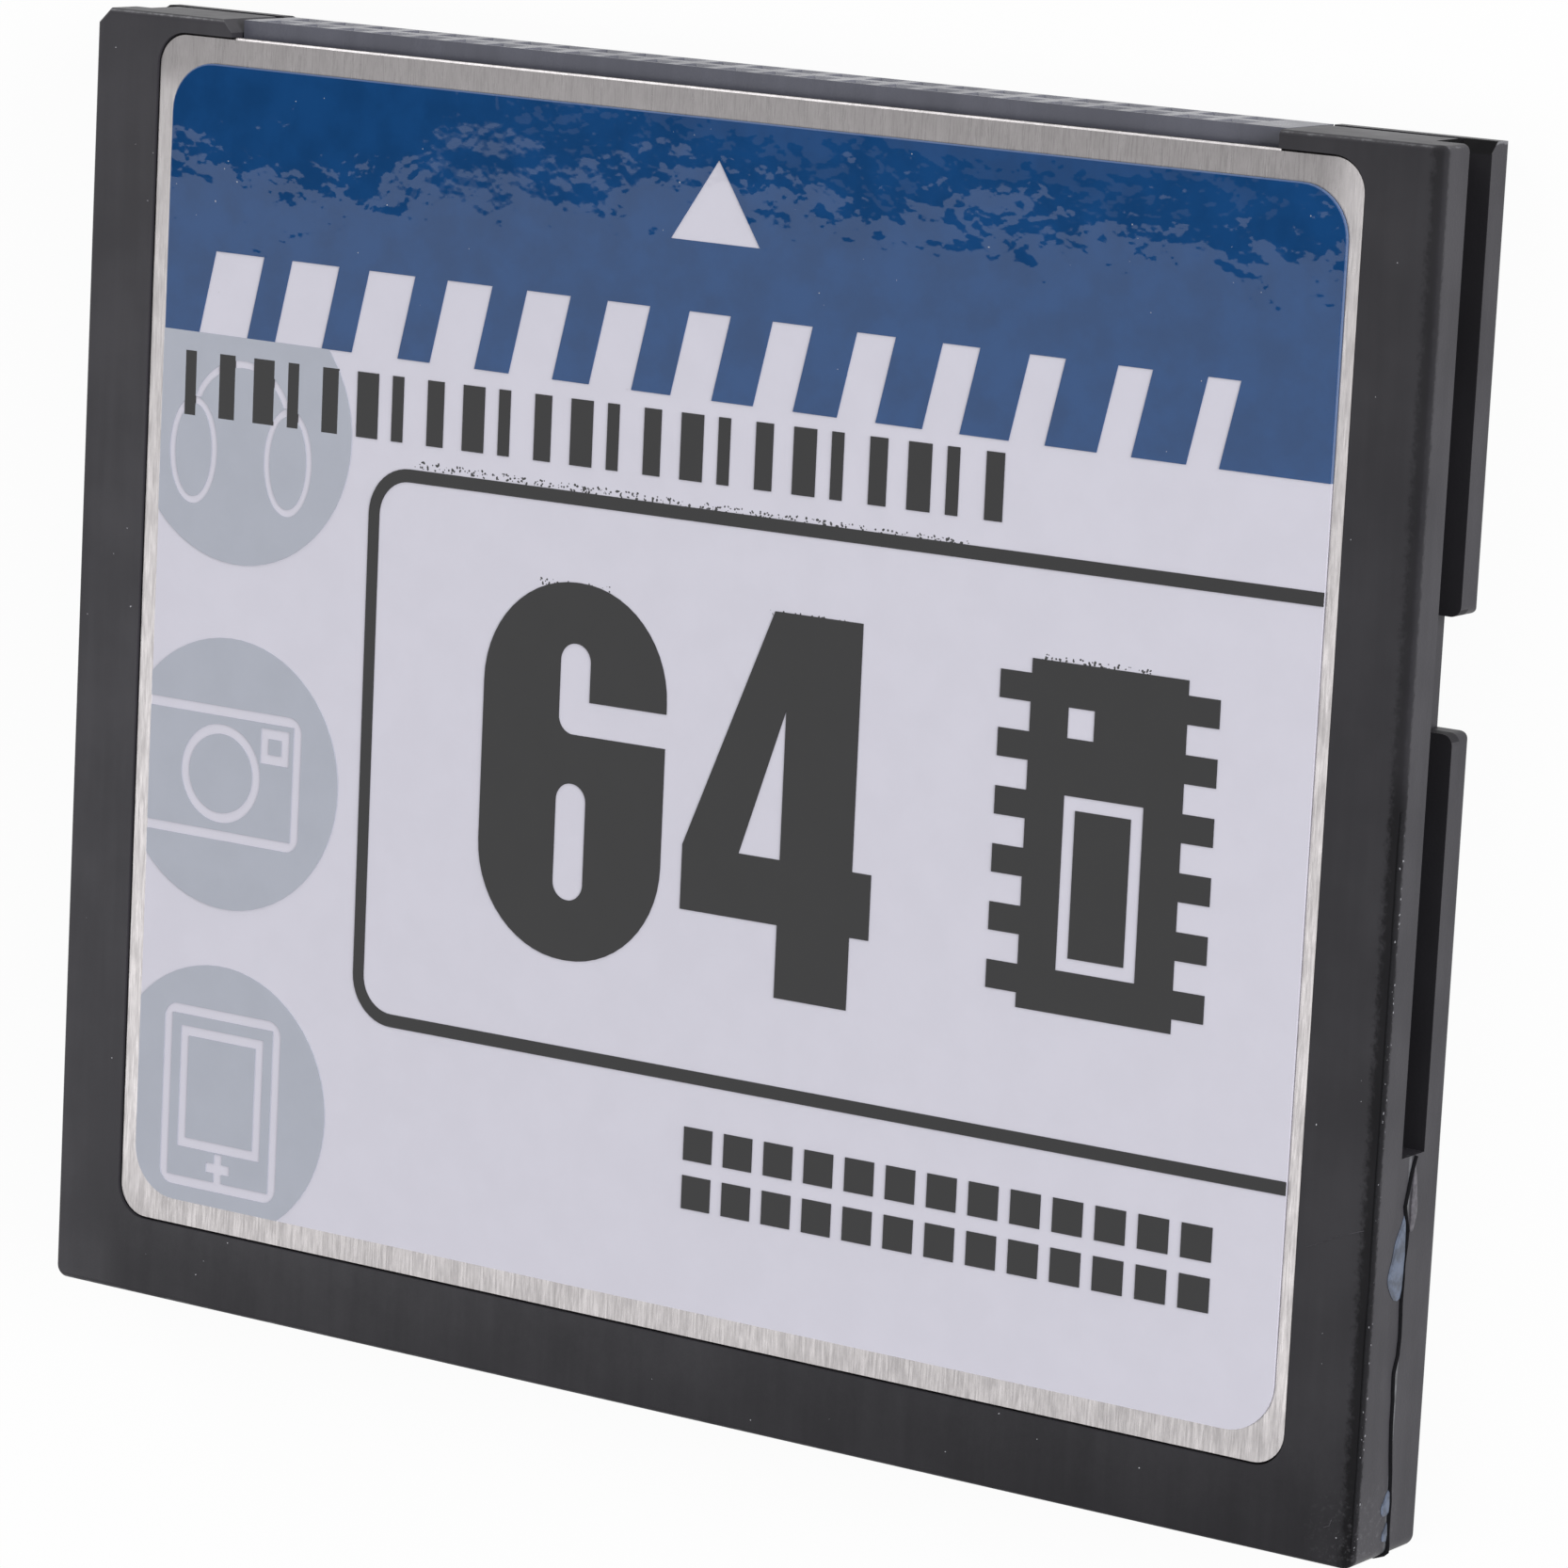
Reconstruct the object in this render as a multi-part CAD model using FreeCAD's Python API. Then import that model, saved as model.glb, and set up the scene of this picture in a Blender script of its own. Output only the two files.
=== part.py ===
import FreeCAD, Part
import os
from FreeCAD import Vector

# Flash memory card, type I size, lying on its back with the label side up.
# Origin: middle of the back face. +Y points out of the connector edge, +Z out of the label side.

# Card envelope
card_width = 42.8
card_length = 36.4
card_thickness = 3.3

# Outer corners and edges of the moulded shells; only the left connector corner is cut off
left_corner_chamfer = 0.42
right_corner_radius = 0.2
tail_corner_radius = 0.35
face_edge_radius = 0.16

# Guide grooves along both sides, open at the connector edge
groove_length = 25.78
groove_depth = 0.95
groove_height = 1.18
flange_thickness = 0.92
mouth_lead_in = 0.3

# Keying notch in each side flange, measured from the connector edge
notch_start = 12.0
notch_length = 3.0
notch_corner_radius = 0.3

# Seam between the two shells behind the grooves
seam_height = 1.62
seam_bead_width = 0.14
seam_bead_depth = 0.12
mouth_gap = 0.38

# Metal cover panels and the ledge that carries them
panel_side_border = 2.2
panel_tail_border = 2.22
panel_setback = 0.48
panel_thickness = 0.2
panel_recess = 0.08
panel_corner_radius = 0.95
panel_edge_break = 0.06
ledge_width = 0.8

# Corner blocks that close the shells beside the connector
block_width = 4.75
block_depth = 1.4
left_block_chamfer = 0.35

# Connector with two rows of sockets
socket_pitch = 1.27
row_spacing = 1.27
socket_side_margin = 1.2
row_offset_x = -0.4
socket_width = 0.6
socket_depth = 1.0
lead_in_width = 0.88
lead_in_depth = 0.16
nose_thickness = 2.3
housing_depth = 4.5
housing_clearance = 0.05
cavity_size = 0.84

# Socket contacts: spring channels with a flat tail on the board
contact_clearance = 0.04
contact_wall = 0.12
contact_rise = 0.66
contact_channel_length = 3.2
tail_width = 0.4
tail_foot_length = 1.3

# Circuit board and the ribs that clamp it
board_thickness = 0.6
board_edge_gap = 0.1
board_connector_gap = 0.1
board_corner_cut = 0.5
rib_width = 0.75
rib_connector_gap = 1.2

# Packages on the board
package_height = 0.95
package_standoff = 0.1
lead_pitch = 0.5
lead_width = 0.22
lead_thickness = 0.12
lead_slope = 0.45
lead_foot = 0.5
mark_size = 0.7
mark_inset = 0.5
mark_depth = 0.08
controller_size = 7.0
controller_leads_per_side = 12
controller_share_x = -0.503
controller_offset_y = 2.06
flash_width = 12.0
flash_leads_per_side = 24
flash_share_x = 0.36
flash_tail_gap = 3.33
flash_front_gap = 2.3

# Small parts on the board
capacitor_length = 1.6
capacitor_width = 0.8
capacitor_height = 0.75
capacitor_count = 6
capacitor_pitch = 2.4
capacitor_side_inset = 2.7
capacitor_tail_inset = 2.48
resistor_length = 1.0
resistor_width = 0.5
resistor_height = 0.35
resistor_count = 6
resistor_pitch = 1.9
resistor_row_x = -6.6
resistor_front_inset = 6.15
terminal_length = 0.25
terminal_step = 0.02
regulator_length = 2.9
regulator_width = 1.5
regulator_height = 0.9
regulator_lead_pitch = 0.95
regulator_share_x = -0.25
regulator_tail_inset = 4.68

# Label film, stuck on the front panel slightly off centre
label_left_border = 0.58
label_right_border = 0.43
label_tail_border = 0.78
label_top_border = 0.77
label_corner_radius = 1.4
film_thickness = 0.06
ink_thickness = 0.02
print_margin = 0.04

# Size of label that the artwork below is drawn for, about the card's middle
artwork_width = 37.39
artwork_length = 32.15

# Printed header field with its pointer and row of slanted stripes
header_bottom = 9.5
pointer_width = 2.86
pointer_height = 2.2
pointer_tip_x = -0.22
pointer_tip_y = 15.87
stripe_count = 13
stripe_left_gap = 1.22
stripe_right_gap = 1.59
stripe_width = 1.7
stripe_taper = 0.06
stripe_height = 2.3
stripe_slant = 0.5

# Printed frame that runs off the label's right edge, turned a little as on the real print
print_turn_deg = 0.45
frame_left = -11.22
frame_top = 6.6
frame_bottom = -8.95
frame_radius = 1.35
frame_line = 0.36

# Two-figure number in the frame
figure_bottom = -6.2
figure_height = 10.35
figure_width = 6.05
figure_gap = 0.7
figure_left = -7.1
figure_slot = 1.0
figure_roundness = 0.49
six_lower_slot = (0.16, 0.47)
six_upper_slot = (0.6, 0.84)
six_gap_top = 0.69
four_bar_share = (0.19, 0.36)
four_stem_share = (0.52, 0.9)
four_peak_share = 0.44
four_counter_left = 0.3
four_counter_top = 0.75

# Chip pictogram beside the number
chip_left = 10.35
chip_right = 15.05
chip_bottom = -5.3
chip_top = 3.9
chip_pin_count = 6
chip_pin_length = 0.95
chip_pin_width = 0.75
chip_window_margin = 1.15
chip_window_length = 4.6
chip_window_line = 0.36
chip_mark_size = 0.8

# Band of upright bars over the frame
bar_count = 23
bar_pitch = 1.2
bar_first_x = -17.75
bar_bottom = 7.3
bar_height = 1.8
bar_narrow = 0.38
bar_width_step = 0.17
bar_width_cycle = 3

# Two rows of small squares below the frame, like the sockets of the connector
square_count = 13
square_pitch = 1.3
square_size = 0.92
square_first_x = 0.1
square_bottom = -12.4
square_row_gap = 0.42

# Grey discs with line pictograms down the left side
disc_radius = 3.84
disc_x = -15.78
disc_ys = (7.0, -2.77, -12.1)
icon_line = 0.28
icon_corner = 0.45
camera_right = -13.26
camera_top = -0.87
camera_bottom = -4.68
camera_lens_x = -16.06
camera_lens_y = -2.78
camera_lens_radius = 1.4
camera_finder_size = 1.0
camera_finder_inset = 0.42
handheld_left = -17.72
handheld_right = -13.58
handheld_top = -9.53
handheld_bottom = -14.76
screen_margin = 0.6
screen_height = 3.5
key_reach = 0.42
key_rise = 0.68
earpiece_x = 1.66
earpiece_y = -0.8
earpiece_half_width = 0.84
earpiece_half_height = 1.5
headband_line = 0.2
headband_rise = 0.9

# Derived places
half_width = card_width / 2
connector_edge = card_length / 2
tail_edge = -card_length / 2
groove_end = connector_edge - groove_length
groove_wall = half_width - groove_depth
groove_top = flange_thickness + groove_height
notch_near = connector_edge - notch_start
notch_far = notch_near - notch_length
panel_half_width = half_width - panel_side_border
panel_tail = tail_edge + panel_tail_border
panel_front = connector_edge - panel_setback
front_panel_top = card_thickness - panel_recess
front_panel_bottom = front_panel_top - panel_thickness
rear_panel_bottom = panel_recess
rear_panel_top = rear_panel_bottom + panel_thickness
bay_half_width = half_width - block_width
block_back = connector_edge - block_depth
window_half_width = panel_half_width - ledge_width
window_tail = panel_tail + ledge_width
mid_height = card_thickness / 2
board_bottom = mid_height - board_thickness / 2
board_top = mid_height + board_thickness / 2
housing_front = block_back - housing_clearance
housing_rear = housing_front - housing_depth
board_front = housing_rear - board_connector_gap
board_tail = window_tail + board_edge_gap
board_half_width = window_half_width - board_edge_gap
board_middle_y = (board_front + board_tail) / 2
cavity_front = connector_edge - lead_in_depth - socket_depth
sockets_per_row = 1 + int(2 * (bay_half_width - socket_side_margin) / socket_pitch)
lead_reach = lead_slope + lead_foot
controller_x = controller_share_x * board_half_width
controller_y = board_middle_y + controller_offset_y
flash_low = board_tail + flash_tail_gap + lead_reach
flash_high = board_front - tail_foot_length - flash_front_gap - lead_reach
flash_length = flash_high - flash_low
flash_x = flash_share_x * board_half_width
flash_y = (flash_low + flash_high) / 2
capacitor_row_x = -board_half_width + capacitor_side_inset
capacitor_row_y = board_tail + capacitor_tail_inset
resistor_row_y = board_front - resistor_front_inset
regulator_x = regulator_share_x * board_half_width
regulator_y = board_tail + regulator_tail_inset
label_left = -panel_half_width + label_left_border
label_right = panel_half_width - label_right_border
label_tail = panel_tail + label_tail_border
label_top = panel_front - label_top_border
stretch_x = (label_right - label_left) / artwork_width
stretch_y = (label_top - label_tail) / artwork_length
art_unit = min(stretch_x, stretch_y)
stripe_first_x = label_left + stripe_left_gap
stripe_pitch = (label_right - stripe_right_gap - stripe_first_x) / stripe_count
film_bottom = front_panel_top
film_top = film_bottom + film_thickness
ink_top = film_top + ink_thickness
through = 1.0


def box(x0, x1, y0, y1, z0, z1):
    return Part.makeBox(x1 - x0, y1 - y0, z1 - z0, Vector(x0, y0, z0))


def mirrored(shape):
    return shape.mirror(Vector(0, 0, 0), Vector(1, 0, 0))


def on_both_sides(shape):
    return shape.fuse(mirrored(shape))


def polygon(points, z):
    corners = [Vector(x, y, z) for x, y in points]
    return Part.Face(Part.makePolygon(corners + corners[:1]))


def prism(points, z0, z1):
    return polygon(points, z0).extrude(Vector(0, 0, z1 - z0))


def disc(x, y, radius, z0, z1):
    return Part.makeCylinder(radius, z1 - z0, Vector(x, y, z0))


def rounded_slab(x0, x1, y0, y1, radius, z0, z1):
    slab = box(x0, x1, y0, y1, z0, z1)
    upright = [e for e in slab.Edges if abs(e.Vertexes[0].Z - e.Vertexes[1].Z) > 1e-6]
    return slab.makeFillet(radius, upright)


def ring(x0, x1, y0, y1, radius, line, z0, z1):
    """Even outline with round corners; the inside is square where the corner is no wider than the line."""
    outer = rounded_slab(x0, x1, y0, y1, radius, z0, z1)
    if radius > 2 * line:
        return outer.cut(rounded_slab(x0 + line, x1 - line, y0 + line, y1 - line, radius - line, z0, z1))
    return outer.cut(box(x0 + line, x1 - line, y0 + line, y1 - line, z0, z1))


def upright_edges(solid, y):
    """Edges along the thickness at one end of the card."""
    return [e for e in solid.Edges
            if abs(e.Vertexes[0].Z - e.Vertexes[1].Z) > 1e-6 and abs(e.Vertexes[0].Y - y) < 1e-6]


def shell_block(z0, z1, face_z, right_radius):
    """Solid outline of one shell, with the edges of its outer face rounded."""
    c = left_corner_chamfer
    outline = [
        (-half_width, tail_edge),
        (half_width, tail_edge),
        (half_width, connector_edge),
        (-half_width + c, connector_edge),
        (-half_width, connector_edge - c),
    ]
    block = prism(outline, z0, z1)
    block = block.makeFillet(tail_corner_radius, upright_edges(block, tail_edge))
    if right_radius:
        right = [e for e in upright_edges(block, connector_edge) if e.Vertexes[0].X > 0]
        block = block.makeFillet(right_radius, right)
    face_edges = [e for e in block.Edges if all(abs(v.Z - face_z) < 1e-6 for v in e.Vertexes)]
    return block.makeFillet(face_edge_radius, face_edges)


def panel_outline(z0, z1):
    return rounded_slab(-panel_half_width, panel_half_width, panel_tail, panel_front,
                        panel_corner_radius, z0, z1)


def shell_inside(z0, z1):
    """Space inside a shell: board well, then the connector bay, whose left corner block is cut off inside."""
    well = box(-window_half_width, window_half_width, window_tail, block_back, z0, z1)
    c = left_block_chamfer
    bay = prism([
        (-bay_half_width, block_back - through / 10),
        (bay_half_width, block_back - through / 10),
        (bay_half_width, connector_edge + through),
        (-bay_half_width - c, connector_edge + through),
        (-bay_half_width - c, connector_edge),
        (-bay_half_width, connector_edge - c),
    ], z0, z1)
    return well.fuse(bay)


def clamp_ribs(z0, z1, gap):
    """Ribs along the sides and the tail of a shell that press on the board's edge."""
    inner = window_half_width - rib_width
    rib_front = housing_rear - rib_connector_gap
    side = box(inner, window_half_width - gap, window_tail + gap, rib_front, z0, z1)
    tail = box(-inner, inner, window_tail + gap, window_tail + rib_width, z0, z1)
    return on_both_sides(side).fuse(tail)


def seam_bead_path(z0, z1, depth):
    """Band round the two sides and the tail, behind the grooves, at the seam."""
    outer = box(-half_width, half_width, tail_edge, groove_end, z0, z1)
    inner = box(-half_width + depth, half_width - depth, tail_edge + depth, groove_end + through, z0, z1)
    trim = box(-half_width, half_width, tail_edge, groove_end, z0, z1)
    corners = rounded_slab(-half_width, half_width, tail_edge, groove_end + 2 * through,
                           tail_corner_radius, z0, z1)
    return outer.cut(inner).common(trim).common(corners)


def front_shell():
    shell = shell_block(flange_thickness, card_thickness, card_thickness, right_corner_radius)
    low_tail = box(-half_width, half_width, tail_edge, groove_end, flange_thickness, seam_height)
    groove = box(groove_wall, half_width + through, groove_end, connector_edge + through,
                 flange_thickness, groove_top)
    shell = shell.cut(low_tail)
    shell = shell.cut(on_both_sides(groove))
    shell = shell.cut(shell_inside(flange_thickness, card_thickness))
    shell = shell.cut(panel_outline(front_panel_bottom, card_thickness + through))
    shell = shell.fuse(clamp_ribs(board_top, front_panel_bottom, 0))
    bead = seam_bead_path(seam_height, seam_height + seam_bead_width / 2, seam_bead_depth)
    return shell.cut(bead).removeSplitter()


def flange_notch():
    """Keying notch through one side flange, its outer corners rounded."""
    notch = box(groove_wall, half_width + through, notch_far, notch_near, 0, flange_thickness)
    r = notch_corner_radius
    for edge, way in ((notch_near, 1), (notch_far, -1)):
        low, high = sorted((edge, edge + way * r))
        corner = box(half_width - r, half_width, low, high, 0, flange_thickness)
        corner = corner.cut(disc(half_width - r, edge + way * r, r, 0, flange_thickness))
        notch = notch.fuse(corner)
    return notch


def flange_lead_in():
    """Slope on the flange's groove side at the mouth of the groove."""
    c = mouth_lead_in
    profile = [
        Vector(groove_wall, connector_edge - c, flange_thickness),
        Vector(groove_wall, connector_edge, flange_thickness - c),
        Vector(groove_wall, connector_edge, flange_thickness),
    ]
    face = Part.Face(Part.makePolygon(profile + profile[:1]))
    return face.extrude(Vector(groove_depth, 0, 0))


def rear_shell():
    shell = shell_block(0, seam_height, 0, 0)
    above_flange = box(-half_width, half_width, groove_end, connector_edge, flange_thickness, seam_height)
    shell = shell.cut(above_flange)
    shell = shell.cut(on_both_sides(flange_notch()))
    shell = shell.cut(on_both_sides(flange_lead_in()))
    gap = box(bay_half_width, groove_wall, block_back, connector_edge, flange_thickness - mouth_gap,
              flange_thickness)
    shell = shell.cut(on_both_sides(gap))
    shell = shell.cut(shell_inside(0, seam_height))
    shell = shell.cut(panel_outline(-through, rear_panel_top))
    low_ribs = clamp_ribs(rear_panel_top, flange_thickness, 0)
    high_ribs = clamp_ribs(flange_thickness, board_bottom, housing_clearance)
    shell = shell.fuse(low_ribs).fuse(high_ribs)
    bead = seam_bead_path(seam_height - seam_bead_width / 2, seam_height, seam_bead_depth)
    return shell.cut(bead).removeSplitter()


def seam_bead():
    """Line of dried adhesive in the seam behind the grooves."""
    half = seam_bead_width / 2
    return seam_bead_path(seam_height - half, seam_height + half, seam_bead_depth)


def cover_panel(z0, outer_z):
    """Flat metal cover whose outer face has broken edges."""
    panel = panel_outline(z0, z0 + panel_thickness)
    rim = [e for e in panel.Edges if all(abs(v.Z - outer_z) < 1e-6 for v in e.Vertexes)]
    return panel.makeChamfer(panel_edge_break, rim)


def socket_xs():
    first = row_offset_x - socket_pitch * (sockets_per_row - 1) / 2
    return [first + i * socket_pitch for i in range(sockets_per_row)]


def row_height(side):
    return mid_height + side * row_spacing / 2


def square_wire(x, y, z, size):
    h = size / 2
    corners = [Vector(x + i * h, y, z + k * h) for i, k in ((-1, -1), (1, -1), (1, 1), (-1, 1))]
    return Part.makePolygon(corners + corners[:1])


def socket_cutter(x, z):
    """Funnel mouth, square hole and wider contact cavity of one socket."""
    h = socket_width / 2
    c = cavity_size / 2
    funnel = Part.makeLoft([square_wire(x, connector_edge, z, lead_in_width),
                            square_wire(x, connector_edge - lead_in_depth, z, socket_width)], True, True)
    hole = box(x - h, x + h, cavity_front, connector_edge - lead_in_depth, z - h, z + h)
    cavity = box(x - c, x + c, housing_rear - through, cavity_front, z - c, z + c)
    return [funnel, hole, cavity]


def connector_housing():
    """Moulded block with a nose between the corner blocks and ears behind them."""
    nose_half = bay_half_width - housing_clearance
    nose = box(-nose_half, nose_half, housing_front, connector_edge,
               mid_height - nose_thickness / 2, mid_height + nose_thickness / 2)
    body_half = window_half_width - housing_clearance
    body = box(-body_half, body_half, housing_rear, housing_front, rear_panel_top, front_panel_bottom)
    cutters = []
    for side in (-1, 1):
        for x in socket_xs():
            cutters += socket_cutter(x, row_height(side))
    return nose.fuse(body).removeSplitter().cut(cutters)


def contact(x, side):
    """Channel folded from strip, level with the board's face, with a flat tail that lies on the board."""
    floor = mid_height + side * board_thickness / 2
    w = cavity_size / 2 - contact_clearance
    t = contact_wall
    rear = cavity_front - contact_channel_length
    section = [
        (-w, 0), (w, 0), (w, contact_rise), (w - t, contact_rise),
        (w - t, t), (t - w, t), (t - w, contact_rise), (-w, contact_rise),
    ]
    points = [Vector(x + a, rear, floor + side * b) for a, b in section]
    channel = Part.Face(Part.makePolygon(points + points[:1])).extrude(Vector(0, contact_channel_length, 0))
    low, high = sorted((floor, floor + side * t))
    tail = box(x - tail_width / 2, x + tail_width / 2, board_front - tail_foot_length, rear, low, high)
    return channel.fuse(tail).removeSplitter()


def contact_row(side):
    return Part.makeCompound([contact(x, side) for x in socket_xs()])


def circuit_board():
    """Board with its tail corners cut off."""
    c = board_corner_cut
    return prism([
        (-board_half_width + c, board_tail), (board_half_width - c, board_tail),
        (board_half_width, board_tail + c), (board_half_width, board_front),
        (-board_half_width, board_front), (-board_half_width, board_tail + c),
    ], board_bottom, board_top)


def package_body(x, y, width, length):
    """Moulded chip package with a sunk mark at its first lead."""
    z0 = board_top + package_standoff
    z1 = z0 + package_height
    body = box(x - width / 2, x + width / 2, y - length / 2, y + length / 2, z0, z1)
    mark_x = x - width / 2 + mark_inset
    mark_y = y + length / 2 - mark_inset
    return body.cut(box(mark_x, mark_x + mark_size, mark_y - mark_size, mark_y, z1 - mark_depth, z1))


def gull_wing_lead():
    """One lead leaving a package at the origin along +Y and landing on the board."""
    t = lead_thickness
    root_z = board_top + package_standoff + package_height / 2
    toe = lead_slope + lead_foot
    side_view = [
        (0, root_z), (0, root_z + t), (lead_slope, board_top + t),
        (toe, board_top + t), (toe, board_top), (lead_slope - t, board_top),
    ]
    points = [Vector(-lead_width / 2, y, z) for y, z in side_view]
    face = Part.Face(Part.makePolygon(points + points[:1]))
    return face.extrude(Vector(lead_width, 0, 0))


def lead_row(count, x, y, turn_deg, reach):
    """Evenly pitched leads along one side of a package centred at x, y."""
    leads = []
    first = -lead_pitch * (count - 1) / 2
    for i in range(count):
        lead = gull_wing_lead()
        lead.translate(Vector(first + i * lead_pitch, reach, 0))
        lead.rotate(Vector(0, 0, 0), Vector(0, 0, 1), turn_deg)
        lead.translate(Vector(x, y, 0))
        leads.append(lead)
    return leads


def controller():
    return package_body(controller_x, controller_y, controller_size, controller_size)


def controller_leads():
    leads = []
    for turn in (0, 90, 180, 270):
        leads += lead_row(controller_leads_per_side, controller_x, controller_y, turn, controller_size / 2)
    return Part.makeCompound(leads)


def flash_chip():
    return package_body(flash_x, flash_y, flash_width, flash_length)


def flash_chip_leads():
    leads = []
    for turn in (0, 180):
        leads += lead_row(flash_leads_per_side, flash_x, flash_y, turn, flash_length / 2)
    return Part.makeCompound(leads)


def end_capped_part(x, y, length, width, height, z, up):
    """Ceramic part with a slightly larger metal cap on each end, standing on the board face at z."""
    s = terminal_step
    z0, z1 = sorted((z, z + up * height))
    ceramic = box(x - length / 2, x + length / 2, y - width / 2 + s, y + width / 2 - s, z0, z1 - s)
    if up < 0:
        ceramic.translate(Vector(0, 0, s))
    solid = ceramic
    for way in (-1, 1):
        outer = x + way * length / 2
        x0, x1 = sorted((outer, outer - way * terminal_length))
        solid = solid.fuse(box(x0, x1, y - width / 2, y + width / 2, z0, z1))
    return solid.removeSplitter()


def capacitors():
    parts = []
    for i in range(capacitor_count):
        x = capacitor_row_x + i * capacitor_pitch
        parts.append(end_capped_part(x, capacitor_row_y, capacitor_length, capacitor_width,
                                     capacitor_height, board_top, 1))
    return Part.makeCompound(parts)


def resistors():
    parts = []
    for i in range(resistor_count):
        x = resistor_row_x + i * resistor_pitch
        parts.append(end_capped_part(x, resistor_row_y, resistor_length, resistor_width,
                                     resistor_height, board_bottom, -1))
    return Part.makeCompound(parts)


def voltage_regulator():
    """Small package with two leads on one side and one on the other."""
    z0 = board_top + package_standoff
    body = box(regulator_x - regulator_length / 2, regulator_x + regulator_length / 2,
               regulator_y - regulator_width / 2, regulator_y + regulator_width / 2,
               z0, z0 + regulator_height)
    solid = body
    for turn, offset in ((0, 0), (180, -regulator_lead_pitch), (180, regulator_lead_pitch)):
        lead = gull_wing_lead()
        lead.translate(Vector(offset, regulator_width / 2, 0))
        lead.rotate(Vector(0, 0, 0), Vector(0, 0, 1), turn)
        lead.translate(Vector(regulator_x, regulator_y, 0))
        solid = solid.fuse(lead)
    return solid.removeSplitter()


def ink_box(x0, x1, y0, y1):
    return box(x0 * stretch_x, x1 * stretch_x, y0 * stretch_y, y1 * stretch_y, film_top, ink_top)


def ink_prism(points):
    return prism([(x * stretch_x, y * stretch_y) for x, y in points], film_top, ink_top)


def ink_disc(x, y, radius):
    return disc(x * stretch_x, y * stretch_y, radius * art_unit, film_top, ink_top)


def ink_slab(x0, x1, y0, y1, radius):
    return rounded_slab(x0 * stretch_x, x1 * stretch_x, y0 * stretch_y, y1 * stretch_y, radius * art_unit,
                        film_top, ink_top)


def ink_ring(x0, x1, y0, y1, radius, line):
    return ring(x0 * stretch_x, x1 * stretch_x, y0 * stretch_y, y1 * stretch_y, radius * art_unit,
                line * art_unit, film_top, ink_top)


def ink_window(x0, x1, y0, y1, line):
    """Square-cornered outline."""
    return ink_box(x0, x1, y0, y1).cut(ink_box(x0 + line, x1 - line, y0 + line, y1 - line))


def label_outline(z0, z1):
    return rounded_slab(label_left, label_right, label_tail, label_top, label_corner_radius, z0, z1)


def label_film():
    return label_outline(film_bottom, film_top)


def header_stripes():
    """Slanted stripes, spread over the label's width, that get narrower from left to right."""
    stripes = []
    low = header_bottom * stretch_y
    top = (header_bottom + stripe_height) * stretch_y
    for i in range(stripe_count):
        x = stripe_first_x + i * stripe_pitch
        width = stripe_width - i * stripe_taper
        stripes.append(prism([
            (x, low), (x + width, low), (x + width + stripe_slant, top), (x + stripe_slant, top),
        ], film_top, ink_top))
    return stripes


def label_header():
    """Coloured field over the top of the label; pointer and stripes are left open to the film."""
    m = print_margin
    field = rounded_slab(label_left + m, label_right - m, label_tail, label_top - m, label_corner_radius - m,
                         film_top, ink_top)
    field = field.cut(box(label_left, label_right, label_tail, header_bottom * stretch_y, film_top, ink_top))
    base_y = pointer_tip_y - pointer_height
    pointer = ink_prism([
        (pointer_tip_x, pointer_tip_y), (pointer_tip_x - pointer_width / 2, base_y),
        (pointer_tip_x + pointer_width / 2, base_y),
    ])
    return field.cut([pointer] + header_stripes())


def print_frame():
    """Outline with round left corners whose right end runs off the label."""
    far = artwork_width / 2 + 2 * frame_radius
    return ink_ring(frame_left, far, frame_bottom, frame_top, frame_radius, frame_line)


def figure_six(x, y):
    """Rounded body with a closed slot below and one above that opens to the right."""
    w = figure_width
    h = figure_height
    body = ink_slab(x, x + w, y, y + h, figure_roundness * w)
    slot_x = x + (w - figure_slot) / 2
    end = figure_roundness * figure_slot
    slots = [ink_slab(slot_x, slot_x + figure_slot, y + low * h, y + high * h, end)
             for low, high in (six_lower_slot, six_upper_slot)]
    gap = ink_box(slot_x + figure_slot / 2, x + w, y + six_upper_slot[0] * h, y + six_gap_top * h)
    return body.cut(slots + [gap])


def figure_four(x, y):
    """Upright stem with a cross bar and a slanted stroke round an open counter."""
    w = figure_width
    h = figure_height
    bar_low, bar_high = [y + share * h for share in four_bar_share]
    stem_left, stem_right = [x + share * w for share in four_stem_share]
    outline = ink_prism([
        (x, bar_low), (stem_left, bar_low), (stem_left, y), (stem_right, y), (stem_right, bar_low),
        (x + w, bar_low), (x + w, bar_high), (stem_right, bar_high), (stem_right, y + h),
        (x + four_peak_share * w, y + h), (x, bar_high),
    ])
    counter = ink_prism([
        (x + four_counter_left * w, bar_high), (stem_left, bar_high), (stem_left, y + four_counter_top * h),
    ])
    return outline.cut(counter)


def chip_pictogram():
    """Chip seen from above: body with a square mark, an outlined window and a row of pins on each side."""
    m = chip_window_margin
    body = ink_box(chip_left, chip_right, chip_bottom, chip_top)
    pitch = (chip_top - chip_bottom) / chip_pin_count
    for i in range(chip_pin_count):
        y = chip_bottom + (i + 0.5) * pitch - chip_pin_width / 2
        body = body.fuse(ink_box(chip_left - chip_pin_length, chip_right + chip_pin_length, y,
                                 y + chip_pin_width))
    x0, x1 = chip_left + m, chip_right - m
    y0, y1 = chip_bottom + m, chip_bottom + m + chip_window_length
    window = ink_window(x0, x1, y0, y1, chip_window_line)
    mark_y = chip_top - m
    mark = ink_box(x0, x0 + chip_mark_size, mark_y - chip_mark_size, mark_y)
    return body.cut([window, mark]).removeSplitter()


def print_turned(shape):
    shape.rotate(Vector(0, 0, 0), Vector(0, 0, 1), print_turn_deg)
    return shape


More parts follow.
